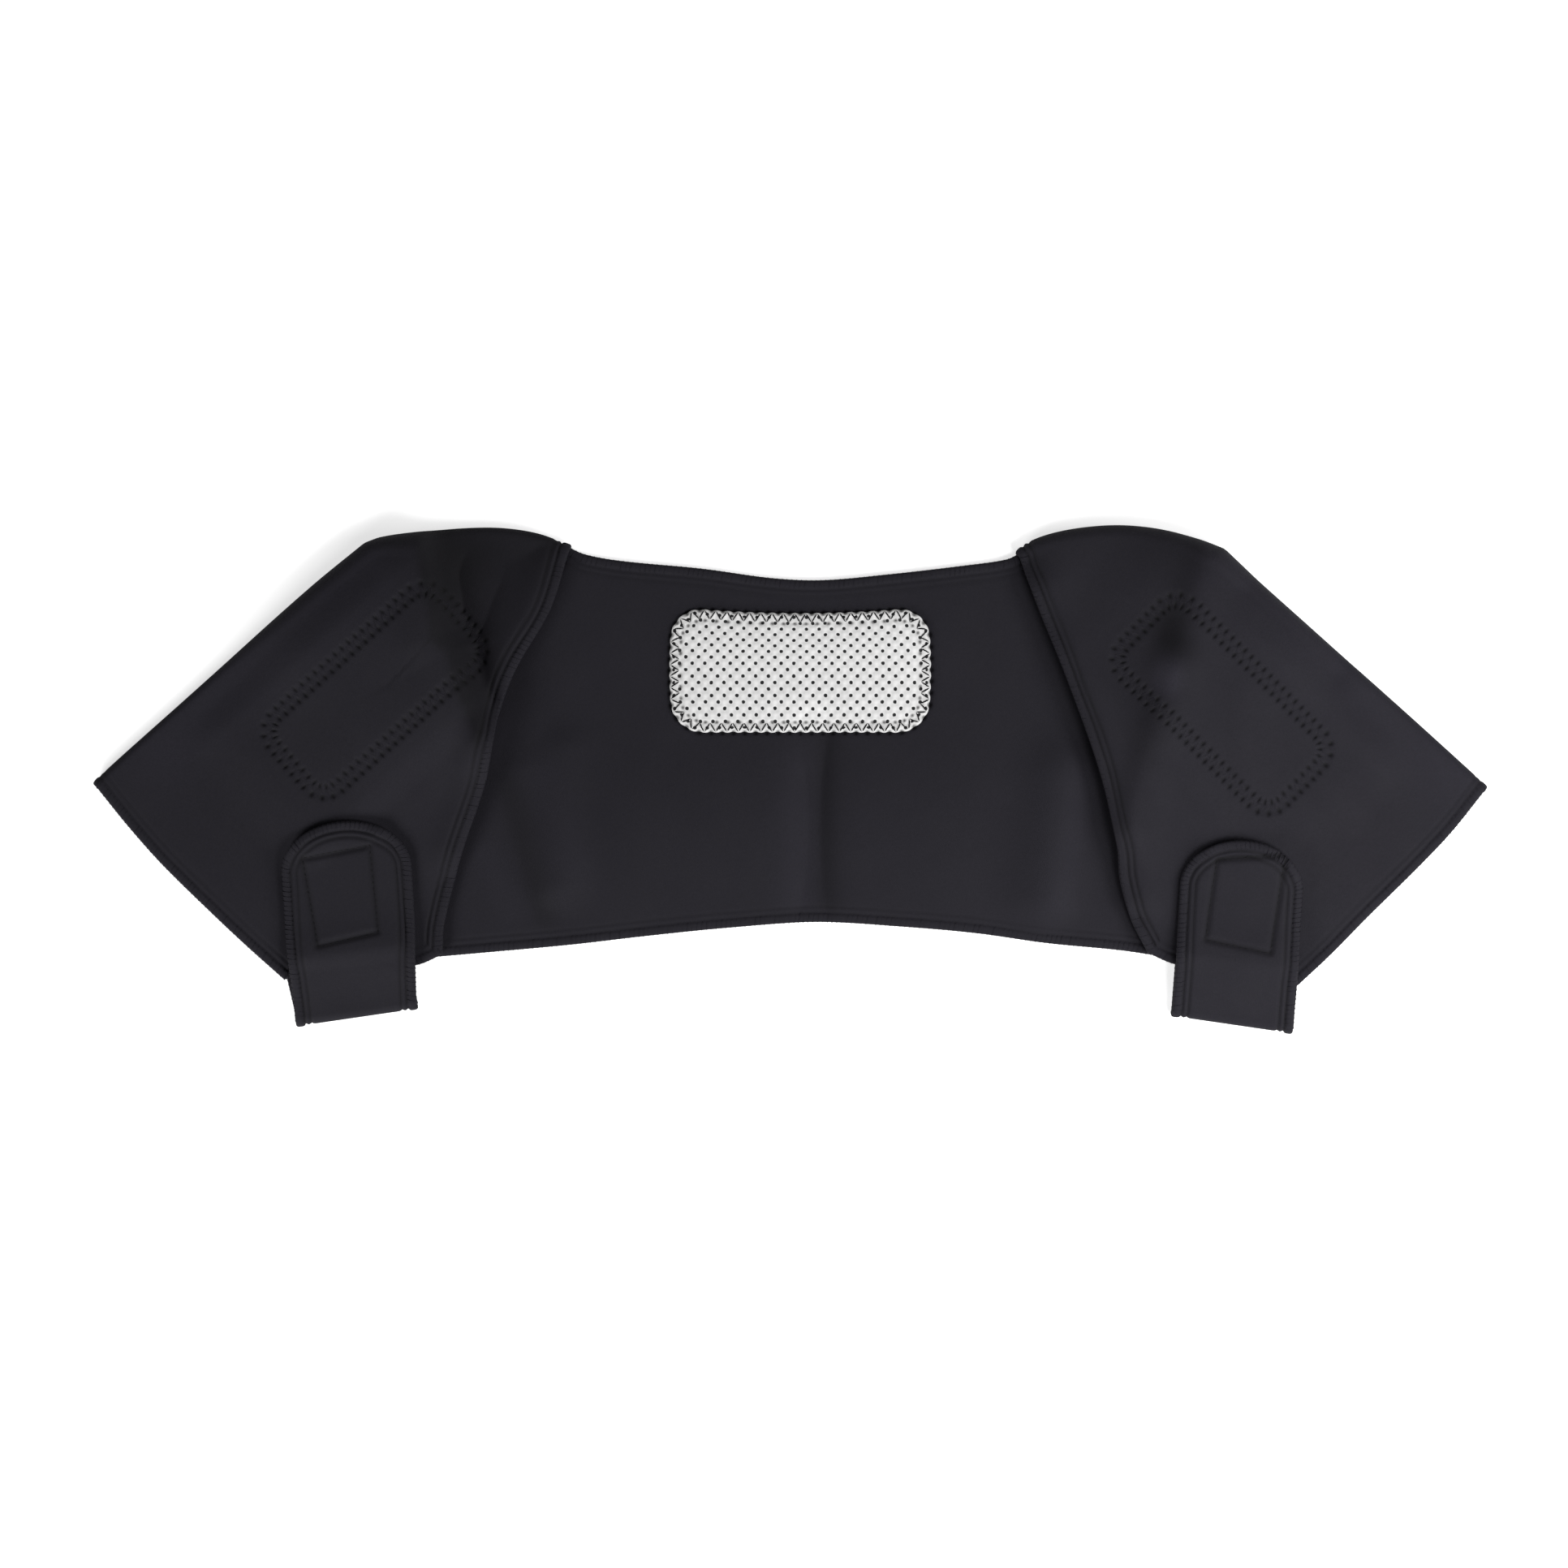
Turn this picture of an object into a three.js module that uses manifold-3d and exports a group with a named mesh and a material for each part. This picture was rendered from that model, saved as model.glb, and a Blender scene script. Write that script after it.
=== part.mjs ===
// A neoprene brace for both shoulders, laid flat and open with the inner face of its back up.
// Millimetres. X runs across the back, Y from the bottom hem to the neck, Z up from the table.
import * as THREE from 'three';
import { mergeVertices } from 'three/addons/utils/BufferGeometryUtils.js';
import Module from 'manifold-3d';

const wasm = await Module();
wasm.setup();

// Driving dimensions
const sleeve_reach = 362; // centre line to the tip of a sleeve
const shoulder_rise = 204; // middle of the bottom hem to the top of a shoulder
const back_height = 177; // bottom hem to neckline on the centre line
const neoprene = 3; // wall of the panels and straps
const loft = 12; // how far the shoulder cup lifts the front flap
const layer_gap = 2; // between a flap and the half under it, where nothing lifts it
const clearance = 0.3; // between pieces that touch
const pad_thickness = 2;
const back_pad_width = 135;
const back_pad_height = 65;
const back_pad_drop = 14; // neckline to the top of the back pad
const back_pad_shift = 2.7; // off the centre line
const shoulder_pad_length = 124;
const shoulder_pad_width = 58;
const pad_corner = 13; // corner radius of every pad
const strap_width = 63;
const strap_end = 25; // length of a strap's round end
const hook_patch_length = 50;
const hook_patch_width = 40;
const hook_patch_thickness = 1.5;
const hook_patch_corner = 4;
const back_ripple = 4; // height of the waves in the back panel

// Both sides are laid out in one plan: "out" from the centre line in shares of sleeve_reach,
// "up" from the bottom hem in shares of shoulder_rise. sign turns the plan to its side.
// Edges are straight lines between two corners, with rows of [share of the way, bow], the bow
// being a share of the edge's length. Lift rows are rounded ridges along a path: width is a
// share of sleeve_reach, height a share of loft.
const sides = [
  {
    name: 'left', sign: -1,
    neck: [0.318, 0.953], corner: [0.612, 0.959], tip: [1.0, 0.352], heel: [0.7275, -0.143],
    foot: [0.502, -0.08], seam_foot: [0.532, -0.09],
    shoulder_fold: [[0.16, 0.057], [0.33, 0.082], [0.51, 0.08], [0.745, 0.055], [0.92, 0.029]],
    sleeve_fold: [[0.2, 0.007], [0.74, 0.006], [0.96, 0.004]],
    arm_hem: [[0.18, 0.017], [0.37, 0.026], [0.62, 0.021], [0.81, 0.013]],
    flap_edge: [[0.14, 0], [0.3, 0.034], [0.42, 0.041], [0.57, 0.023], [0.76, 0.026], [0.93, 0.017]],
    flap_hem: [[0.16, -0.04], [0.5, -0.04], [0.85, -0.015]],
    seam: [[0.2, 0.03], [0.42, 0.06], [0.7, 0.04]],
    pad: { centre: [0.596, 0.586], turn: -41.4 },
    strap: { fold: [0.6236, -0.24], lean: 3.6, root_lean: 13, fold_turn: -8.3, lap: 101.6, flare: 0.06 },
    patch: { along: 0.62, across: 0.1, turn: -8 },
    lift: [
      { path: [[0.59, 0.7], [0.56, 0.55]], width: 0.15, height: 0.9 },
      { path: [[0.38, 0.93], [0.48, 0.95], [0.6, 0.9], [0.7, 0.72]], width: 0.09, height: 0.45 },
      { path: [[0.535, 0.93], [0.509, 0.72], [0.48, 0.62], [0.44, 0.43]], width: 0.034, height: 0.35 },
      { path: [[0.456, 0.85], [0.466, 0.71], [0.441, 0.55]], width: 0.034, height: -0.55 },
      { path: [[0.33, 0.9], [0.39, 0.66], [0.425, 0.48], [0.44, 0.36], [0.473, 0.18]], width: 0.036, height: 0.5 },
    ],
  },
  {
    name: 'right', sign: 1,
    neck: [0.314, 0.936], corner: [0.61, 0.943], tip: [0.987, 0.342], heel: [0.716, -0.158],
    foot: [0.502, -0.076], seam_foot: [0.53, -0.088],
    shoulder_fold: [[0.05, 0.043], [0.17, 0.088], [0.34, 0.117], [0.52, 0.123], [0.7, 0.1], [0.87, 0.052]],
    sleeve_fold: [[0.17, -0.002], [0.63, 0.003], [0.95, 0.002]],
    arm_hem: [[0.19, 0.017], [0.38, 0.018], [0.64, 0.011], [0.83, 0.009]],
    flap_edge: [[0.1, 0.002], [0.32, 0.017], [0.55, 0.0225], [0.73, 0.0075], [0.81, -0.01], [0.91, -0.014]],
    flap_hem: [[0.18, -0.035], [0.5, -0.035], [0.85, -0.015]],
    seam: [[0.2, 0.025], [0.45, 0.04], [0.75, 0.02]],
    pad: { centre: [0.605, 0.552], turn: -44.5 },
    strap: { fold: [0.622, -0.258], lean: 3.5, root_lean: 4.5, fold_turn: -8.3, lap: 95.3, flare: 0 },
    patch: { along: 0.65, across: 0.04, turn: -8 },
    lift: [
      { path: [[0.6, 0.7], [0.57, 0.53]], width: 0.15, height: 0.95 },
      { path: [[0.38, 0.93], [0.48, 0.96], [0.6, 0.9], [0.7, 0.72]], width: 0.09, height: 0.4 },
      { path: [[0.585, 0.94], [0.562, 0.79], [0.545, 0.65], [0.499, 0.41], [0.477, 0.24]], width: 0.034, height: 0.25 },
      { path: [[0.532, 0.76], [0.537, 0.72]], width: 0.03, height: -0.25 },
      { path: [[0.34, 0.83], [0.387, 0.62], [0.421, 0.45], [0.453, 0.24], [0.473, 0.06]], width: 0.038, height: 0.65 },
      { path: [[0.65, 0.84], [0.704, 0.75], [0.769, 0.64]], width: 0.026, height: -0.2 },
    ],
  },
];

// The back panel's neckline and bottom hem: [share of the way across, share of the full dip]
const neckline = [
  [0.04, 0.26], [0.12, 0.46], [0.3, 0.68], [0.45, 0.95], [0.56, 1], [0.7, 0.79], [0.88, 0.44], [0.97, 0.22],
];
const bottom_hem = [
  [0.09, 0.16], [0.2, 0.37], [0.3, 0.61], [0.41, 0.84], [0.53, 1], [0.65, 0.86], [0.745, 0.68], [0.84, 0.4],
  [0.94, 0.19],
];

// Waves in the back panel: across in shares of sleeve_reach from the centre line, up in shares
// of back_height, width in shares of sleeve_reach, height in shares of back_ripple
const ripples = [
  { path: [[-0.25, 0.2], [0.3, 0.2]], width: 0.11, height: 0.9 },
  { path: [[-0.33, 0.5], [-0.335, 0.12]], width: 0.035, height: 0.7 },
  { path: [[0.37, 0.42], [0.355, 0.08]], width: 0.04, height: 0.75 },
  { path: [[0.027, 0.55], [0.027, 0.02]], width: 0.022, height: -0.8 },
];
const ripple_edge_share = 0.07; // width of the flat rim, in shares of sleeve_reach

// A flap rises over its pad and a strap over its patch: how far out the rise ends and how wide
// its slope is, in shares of the pad's or the patch's half sizes
const rises = {
  pad: { along_end: 1.6, along_slope: 0.5, across_end: 1.8, across_slope: 0.6 },
  patch: { along_end: 1.5, along_slope: 0.4, across_end: 1.55, across_slope: 0.4 },
};

// Facets along and across each piece
const facets = {
  shoulder: 11, sleeve: 9, front: 14, back: 6, bend: 5, across: 20, strap: 6, strap_top: 11, pad: 12, patch: 4,
};

const mix = (a, b, share) => a + (b - a) * share;
const count = (steps) => Array.from({ length: steps + 1 }, (_, step) => step / steps);
const ease = (share) => {
  const s = Math.min(Math.max(share, 0), 1);
  return s * s * (3 - 2 * s);
};

// A smooth curve through rows of [place, value], with a slope at each row from its neighbours
function smooth(rows, place) {
  let right = rows.findIndex(([at]) => at >= place);
  right = Math.max(right < 0 ? rows.length - 1 : right, 1);
  const slope = (k) => {
    const [x0, y0] = rows[Math.max(k - 1, 0)];
    const [x1, y1] = rows[Math.min(k + 1, rows.length - 1)];
    return (y1 - y0) / (x1 - x0);
  };
  const [x0, y0] = rows[right - 1];
  const [x1, y1] = rows[right];
  const span = x1 - x0;
  const t = (place - x0) / span;
  const start = (1 + 2 * t) * (1 - t) ** 2 * y0 + t * (1 - t) ** 2 * slope(right - 1) * span;
  return start + t * t * (3 - 2 * t) * y1 + t * t * (t - 1) * slope(right) * span;
}

// A bowed edge between two corners of the plan, with its bow to the left of its direction
function bowed(from, to, bows, steps) {
  const along = to.clone().sub(from);
  const aside = new THREE.Vector2(-along.y, along.x);
  const rows = [[0, 0], ...bows, [1, 0]];
  return count(steps).map((share) => (
    from.clone().addScaledVector(along, share).addScaledVector(aside, smooth(rows, share))
  ));
}

function distance_to_path(point, path) {
  let nearest = Infinity;
  for (let k = 1; k < path.length; k += 1) {
    const along = path[k].clone().sub(path[k - 1]);
    const offset = point.clone().sub(path[k - 1]);
    const share = THREE.MathUtils.clamp(offset.dot(along) / along.lengthSq(), 0, 1);
    nearest = Math.min(nearest, offset.addScaledVector(along, -share).length());
  }
  return nearest;
}

// A field of rounded ridges: rows of { path, width, height } in millimetres
function ridges(rows) {
  return (point) => rows.reduce((sum, row) => (
    sum + row.height * Math.exp(-((distance_to_path(point, row.path) / row.width) ** 2))
  ), 0);
}

// 1 over a pad or a patch, easing to 0 around it; along and across are in its half sizes
function risen(rise, along, across) {
  const from_ends = ease((rise.along_end - along) / rise.along_slope);
  return from_ends * ease((rise.across_end - across) / rise.across_slope);
}

// The grid between four edges that share their corners, each a list of plan points
function patch(start, finish, first, last) {
  const rows = first.length - 1;
  const columns = start.length - 1;
  return first.map((_, r) => start.map((__, c) => {
    const v = r / rows;
    const u = c / columns;
    const point = start[c].clone().multiplyScalar(1 - v).addScaledVector(finish[c], v);
    point.addScaledVector(first[r], 1 - u).addScaledVector(last[r], u);
    point.addScaledVector(start[0], -(1 - u) * (1 - v)).addScaledVector(start[columns], -u * (1 - v));
    return point.addScaledVector(finish[0], -(1 - u) * v).addScaledVector(finish[columns], -u * v);
  }));
}

// A rounded rectangle as a grid: its corner squares are bent to quarter ellipses
function round_corner(across, along, radius_across, radius_along, half_width, half_length) {
  const p = (Math.abs(across) - half_width + radius_across) / radius_across;
  const q = (Math.abs(along) - half_length + radius_along) / radius_along;
  if (p <= 0 || q <= 0) return [across, along];
  return [
    Math.sign(across) * (half_width - radius_across * (1 - p * Math.sqrt(1 - q * q / 2))),
    Math.sign(along) * (half_length - radius_along * (1 - q * Math.sqrt(1 - p * p / 2))),
  ];
}

function unit_normal(grid, r, c) {
  const last_row = grid.length - 1;
  const last_column = grid[0].length - 1;
  const down = grid[Math.min(r + 1, last_row)][c].clone().sub(grid[Math.max(r - 1, 0)][c]);
  const across = grid[r][Math.min(c + 1, last_column)].clone().sub(grid[r][Math.max(c - 1, 0)]);
  return across.cross(down).normalize();
}

function signed_volume(points, faces) {
  let volume = 0;
  for (let k = 0; k < faces.length; k += 3) {
    const [a, b, c] = [points[faces[k]], points[faces[k + 1]], points[faces[k + 2]]];
    volume += a.dot(b.clone().cross(c)) / 6;
  }
  return volume;
}

// A sheet of even thickness round a grid of points on its middle surface
function sheet(grid, thickness) {
  const rows = grid.length;
  const columns = grid[0].length;
  const points = [];
  for (const face of [1, -1]) {
    for (let r = 0; r < rows; r += 1) {
      for (let c = 0; c < columns; c += 1) {
        points.push(grid[r][c].clone().addScaledVector(unit_normal(grid, r, c), face * thickness / 2));
      }
    }
  }
  const under = rows * columns;
  const faces = [];
  const quad = (a, b, c, d) => faces.push(a, b, c, a, c, d);
  for (let r = 0; r < rows - 1; r += 1) {
    for (let c = 0; c < columns - 1; c += 1) {
      const k = r * columns + c;
      quad(k, k + 1, k + 1 + columns, k + columns);
      quad(under + k, under + k + columns, under + k + 1 + columns, under + k + 1);
    }
  }
  const rim = [];
  for (let c = 0; c < columns - 1; c += 1) rim.push(c);
  for (let r = 0; r < rows - 1; r += 1) rim.push(r * columns + columns - 1);
  for (let c = columns - 1; c > 0; c -= 1) rim.push((rows - 1) * columns + c);
  for (let r = rows - 1; r > 0; r -= 1) rim.push(r * columns);
  rim.forEach((k, step) => {
    const next = rim[(step + 1) % rim.length];
    quad(next, k, under + k, under + next);
  });
  if (signed_volume(points, faces) < 0) faces.reverse();
  const geometry = new THREE.BufferGeometry().setFromPoints(points);
  geometry.setIndex(faces);
  return geometry;
}

function to_solid(geometry) {
  const merged = mergeVertices(geometry);
  return new wasm.Manifold(new wasm.Mesh({
    numProp: 3,
    vertProperties: new Float32Array(merged.attributes.position.array),
    triVerts: new Uint32Array(merged.index.array),
  }));
}

// Cuts a piece back from its neighbour, which is moved towards it by the clearance
function clear_of(geometry, neighbour, ...steps) {
  const block = to_solid(neighbour);
  const mesh = steps.reduce((piece, step) => piece.subtract(block.translate(step)), to_solid(geometry)).getMesh();
  const cut = new THREE.BufferGeometry();
  cut.setAttribute('position', new THREE.BufferAttribute(new Float32Array(mesh.vertProperties), 3));
  cut.setIndex(new THREE.BufferAttribute(new Uint32Array(mesh.triVerts), 1));
  return cut;
}

// The plan of one side in millimetres, with the height of its front flap over the table
function side_plan(side) {
  const place = ([out, up]) => new THREE.Vector2(out * sleeve_reach, up * shoulder_rise);
  const lift_rows = side.lift.map((row) => ({
    path: row.path.map(place), width: row.width * sleeve_reach, height: row.height * loft,
  }));
  const cup = ridges(lift_rows);
  const pad_centre = place(side.pad.centre);
  const pad_turn = THREE.MathUtils.degToRad(side.pad.turn);
  const over_pad = (point) => {
    const local = point.clone().sub(pad_centre).rotateAround(new THREE.Vector2(), -pad_turn);
    const along = Math.abs(local.x) / (shoulder_pad_length / 2);
    return risen(rises.pad, along, Math.abs(local.y) / (shoulder_pad_width / 2));
  };
  const least = neoprene + layer_gap;
  const under_pad = pad_thickness + 2 * clearance;
  const lift = (point) => least + Math.max(cup(point), 0) + under_pad * over_pad(point);
  return { place, lift, pad_centre, pad_turn, corners: {
    neck: place(side.neck), corner: place(side.corner), tip: place(side.tip),
    heel: place(side.heel), foot: place(side.foot), seam_foot: place(side.seam_foot),
  } };
}

// How much further a parallel surface lies straight up where the flap slopes
function slope_factor(lift, point) {
  const step = 1;
  const here = lift(point);
  const dx = lift(new THREE.Vector2(point.x + step, point.y)) - here;
  const dy = lift(new THREE.Vector2(point.x, point.y + step)) - here;
  return Math.sqrt(1 + (dx * dx + dy * dy) / (step * step));
}

// The fold of a shoulder panel: its bend starts and ends this far inside the outline
function fold_line(side, plan) {
  const { neck, corner, tip } = plan.corners;
  const outline = [
    ...bowed(neck, corner, side.shoulder_fold, facets.shoulder),
    ...bowed(corner, tip, side.sleeve_fold, facets.sleeve).slice(1),
  ];
  return outline.map((point, k) => {
    const before = outline[Math.max(k - 1, 0)];
    const after = outline[Math.min(k + 1, outline.length - 1)];
    const along = after.clone().sub(before).normalize();
    const outward = new THREE.Vector2(-along.y, along.x);
    let radius = 0;
    let inset = point;
    for (let pass = 0; pass < 4; pass += 1) {
      radius = plan.lift(inset) / 2;
      inset = point.clone().addScaledVector(outward, -(radius + neoprene / 2));
    }
    radius = plan.lift(inset) / 2;
    return { inset, outward, radius };
  });
}

function shoulder_panel(side, plan) {
  const fold = fold_line(side, plan);
  const start = fold.map((row) => row.inset);
  const { heel, foot, seam_foot } = plan.corners;
  const steps = start.length - 1;
  const seam_start = start[0].clone();
  seam_start.x += clearance / 2;
  const back = patch(
    [seam_start, ...start.slice(1)],
    bowed(new THREE.Vector2(seam_foot.x + clearance / 2, seam_foot.y), heel, [], steps),
    bowed(seam_start, new THREE.Vector2(seam_foot.x + clearance / 2, seam_foot.y), side.seam, facets.back),
    bowed(start[steps], heel, side.arm_hem, facets.back),
  );
  const front = patch(
    start,
    bowed(foot, heel, side.flap_hem, steps),
    bowed(start[0], foot, side.flap_edge, facets.front),
    bowed(start[steps], heel, side.arm_hem, facets.front),
  );
  const table = neoprene / 2;
  const at = (point, height) => new THREE.Vector3(side.sign * point.x, point.y, height);
  const grid = back.reverse().map((row) => row.map((point) => at(point, table)));
  for (const share of count(facets.bend).slice(1, -1)) {
    const turn = share * Math.PI;
    grid.push(fold.map(({ inset, outward, radius }) => at(
      inset.clone().addScaledVector(outward, radius * Math.sin(turn)),
      table + radius * (1 - Math.cos(turn)),
    )));
  }
  front.forEach((row) => grid.push(row.map((point) => at(point, table + plan.lift(point)))));
  return sheet(grid, neoprene);
}

// A pad sewn under the front flap, with its upper face against the flap
function shoulder_pad(side, plan) {
  const drop = neoprene / 2 + clearance + pad_thickness / 2;
  const grid = count(facets.pad).map((v) => count(facets.pad / 2).map((u) => {
    const [across, along] = round_corner(
      (2 * u - 1) * shoulder_pad_width / 2, (2 * v - 1) * shoulder_pad_length / 2,
      pad_corner, pad_corner, shoulder_pad_width / 2, shoulder_pad_length / 2,
    );
    const point = new THREE.Vector2(along, across).rotateAround(new THREE.Vector2(), plan.pad_turn);
    point.add(plan.pad_centre);
    const height = neoprene / 2 + plan.lift(point) - drop * slope_factor(plan.lift, point);
    return new THREE.Vector3(side.sign * point.x, point.y, height);
  }));
  return sheet(grid, pad_thickness);
}

// The strap's own directions: along its free end, along its fold, and from the fold to the root
function strap_frame(side, plan) {
  const leaning = (degrees) => {
    const lean = THREE.MathUtils.degToRad(degrees);
    return new THREE.Vector2(Math.sin(lean), Math.cos(lean));
  };
  const turn = THREE.MathUtils.degToRad(side.strap.fold_turn);
  const free = leaning(side.strap.lean);
  const root = leaning(side.strap.root_lean);
  const fold = new THREE.Vector2(Math.cos(turn), Math.sin(turn));
  const inward = new THREE.Vector2(-fold.y, fold.x);
  const stretch = 1 / inward.dot(free);
  return { free, fold, inward, root, stretch, middle: plan.place(side.strap.fold) };
}

function patch_centre(side, frame) {
  const aside = new THREE.Vector2(frame.free.y, -frame.free.x);
  return frame.middle.clone()
    .addScaledVector(frame.free, side.patch.along * side.strap.lap)
    .addScaledVector(aside, side.patch.across * strap_width / 2);
}

function over_patch(side, frame, point) {
  const turn = THREE.MathUtils.degToRad(side.patch.turn);
  const local = point.clone().sub(patch_centre(side, frame)).rotateAround(new THREE.Vector2(), -turn);
  const across = Math.abs(local.x) / (hook_patch_width / 2);
  return risen(rises.patch, Math.abs(local.y) / (hook_patch_length / 2), across);
}

function strap(side, plan) {
  const frame = strap_frame(side, plan);
  const over_flap = (point) => {
    const raise = neoprene + clearance
      + (hook_patch_thickness + clearance) * over_patch(side, frame, point);
    return plan.lift(point) + raise * slope_factor(plan.lift, point);
  };
  const { heel, seam_foot } = plan.corners;
  const hem = heel.clone().sub(seam_foot).normalize();
  const below_hem = new THREE.Vector2(hem.y, -hem.x);
  const table = neoprene / 2;
  const at = (point, height) => new THREE.Vector3(side.sign * point.x, point.y, height);
  const columns = count(facets.strap).map((u) => {
    const across = (2 * u - 1) * strap_width / 2;
    const outline = frame.middle.clone().addScaledVector(frame.fold, across * frame.stretch);
    let radius = 0;
    let inset = outline;
    for (let pass = 0; pass < 4; pass += 1) {
      radius = over_flap(inset) / 2;
      inset = outline.clone().addScaledVector(frame.inward, radius + neoprene / 2);
    }
    radius = over_flap(inset) / 2;
    const to_hem = seam_foot.clone().addScaledVector(below_hem, clearance).sub(inset);
    const root_length = to_hem.dot(below_hem) / frame.root.dot(below_hem);
    const column = [];
    for (const share of [1, 0.66, 0.33, 0]) {
      column.push(at(inset.clone().addScaledVector(frame.root, root_length * share), table));
    }
    for (const share of count(facets.bend).slice(1, -1)) {
      const angle = share * Math.PI;
      const point = inset.clone().addScaledVector(frame.inward, -radius * Math.sin(angle));
      column.push(at(point, table + radius * (1 - Math.cos(angle))));
    }
    const aside = new THREE.Vector2(frame.free.y, -frame.free.x);
    const from_middle = inset.clone().sub(frame.middle);
    const first = from_middle.dot(frame.free);
    const sideways = from_middle.dot(aside);
    for (const share of count(facets.strap_top)) {
      const along = mix(first, side.strap.lap, share);
      const [bent, reached] = round_corner(
        across, along, strap_width / 2, strap_end, strap_width / 2, side.strap.lap,
      );
      const widened = bent * (1 + side.strap.flare * ease(2 * along / side.strap.lap));
      const shifted = widened + (sideways - across) * (1 - ease(along / side.strap.lap));
      const point = frame.middle.clone().addScaledVector(frame.free, reached).addScaledVector(aside, shifted);
      column.push(at(point, table + over_flap(point)));
    }
    return column;
  });
  return sheet(columns, neoprene);
}

function hook_patch(side, plan) {
  const frame = strap_frame(side, plan);
  const centre = patch_centre(side, frame);
  const turn = THREE.MathUtils.degToRad(side.patch.turn);
  const raise = neoprene / 2 + clearance + hook_patch_thickness / 2;
  const grid = count(facets.patch).map((v) => count(facets.patch).map((u) => {
    const [across, along] = round_corner(
      (2 * u - 1) * hook_patch_width / 2, (2 * v - 1) * hook_patch_length / 2,
      hook_patch_corner, hook_patch_corner, hook_patch_width / 2, hook_patch_length / 2,
    );
    const point = new THREE.Vector2(across, along).rotateAround(new THREE.Vector2(), turn).add(centre);
    const height = neoprene / 2 + plan.lift(point) + raise * slope_factor(plan.lift, point);
    return new THREE.Vector3(side.sign * point.x, point.y, height);
  }));
  return sheet(grid, hook_patch_thickness);
}

// The back panel's side edge: the neck point, then the seam to the shoulder panel
function seam_line(side, plan) {
  const start = fold_line(side, plan)[0].inset;
  const { neck, seam_foot } = plan.corners;
  const to_seam = (point) => new THREE.Vector2(side.sign * (point.x - clearance / 2), point.y);
  return [neck, ...bowed(start, seam_foot, side.seam, facets.back)].map(to_seam);
}

function back_edge(from, to, rows, depth) {
  const knots = [[0, 0], ...rows, [1, 0]];
  return count(facets.across).map((share) => (
    new THREE.Vector2(mix(from.x, to.x, share), mix(from.y, to.y, share) + depth * smooth(knots, share))
  ));
}

// How far the back panel's waves lift it off the table
function back_waves(first, last) {
  const rows = ripples.map(({ path, width, height }) => ({
    path: path.map(([across, up]) => new THREE.Vector2(across * sleeve_reach, up * back_height)),
    width: width * sleeve_reach, height: height * back_ripple,
  }));
  const field = ridges(rows);
  const rim = ripple_edge_share * sleeve_reach;
  return (point) => {
    const from_seams = Math.min(distance_to_path(point, first), distance_to_path(point, last));
    return Math.max(field(point), 0) * ease(from_seams / rim) * ease((back_height - point.y) / rim);
  };
}

function back_panel(first, last, waves) {
  const foot = first[first.length - 1];
  const neck_middle = (first[0].y + last[0].y) / 2;
  const top = back_edge(first[0], last[0], neckline, back_height - neck_middle);
  const bottom = back_edge(foot, last[last.length - 1], bottom_hem, -foot.y);
  const grid = patch(top, bottom, first, last);
  return sheet(grid.map((row) => row.map((point) => (
    new THREE.Vector3(point.x, point.y, neoprene / 2 + waves(point))
  ))), neoprene);
}

// The white pad on the back panel: its sides swell and its top edge dips
function back_pad(waves) {
  const side_swell = 0.03;
  const top_dip = 0.1;
  const half_width = back_pad_width / 2;
  const half_height = back_pad_height / 2;
  const middle = back_height - back_pad_drop - half_height;
  const raise = neoprene + clearance + pad_thickness / 2;
  const grid = count(facets.pad / 2).map((v) => count(facets.pad).map((u) => {
    const [across, up] = round_corner(
      (2 * u - 1) * half_width, (2 * v - 1) * half_height, pad_corner, pad_corner, half_width, half_height,
    );
    const swell = 1 - side_swell * (up / half_height) ** 2;
    const dip = top_dip * ease(up / half_height) * (1 - (across / half_width) ** 2);
    const point = new THREE.Vector2(back_pad_shift + across * swell, middle + up - dip * half_height);
    return new THREE.Vector3(point.x, point.y, waves(point) + raise);
  }));
  return sheet(grid, pad_thickness);
}

const cloth = () => new THREE.MeshStandardMaterial({ color: 0x2a292d, roughness: 0.85, metalness: 0 });
const pad_cloth = () => new THREE.MeshStandardMaterial({ color: 0xdddcda, roughness: 0.8, metalness: 0 });
const hook_tape = () => new THREE.MeshStandardMaterial({ color: 0x1c1b1e, roughness: 0.6, metalness: 0 });

const laid_out = new THREE.Group();

function add(name, geometry, material) {
  const mesh = new THREE.Mesh(geometry, material);
  mesh.name = name;
  laid_out.add(mesh);
}

const up = [0, 0, clearance];
const down = [0, 0, -clearance];
const around = [[clearance, 0, 0], [-clearance, 0, 0], [0, clearance, 0], [0, -clearance, 0]];

const seams = [];
for (const side of sides) {
  const plan = side_plan(side);
  const panel = shoulder_panel(side, plan);
  add(`${side.name}_shoulder_panel`, panel, cloth());
  add(`${side.name}_shoulder_heating_pad`, clear_of(shoulder_pad(side, plan), panel, down), pad_cloth());
  const hooks_under_strap = clear_of(hook_patch(side, plan), panel, up);
  add(`${side.name}_hook_patch`, hooks_under_strap, hook_tape());
  const over_panel = clear_of(strap(side, plan), panel, up);
  add(`${side.name}_strap`, clear_of(over_panel, hooks_under_strap, up, ...around), cloth());
  seams.push(seam_line(side, plan));
}
const [left_seam, right_seam] = seams;
const waves = back_waves(left_seam, right_seam);
const back = back_panel(left_seam, right_seam, waves);
add('back_panel', back, cloth());
add('back_heating_pad', clear_of(back_pad(waves), back, up), pad_cloth());

// The origin is under the middle of the whole brace, on the table
const box = new THREE.Box3().setFromObject(laid_out);
const centre = box.getCenter(new THREE.Vector3());
laid_out.position.set(-centre.x, -centre.y, -box.min.z);

const shoulder_brace = new THREE.Group();
shoulder_brace.add(laid_out);

export default shoulder_brace;
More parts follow.
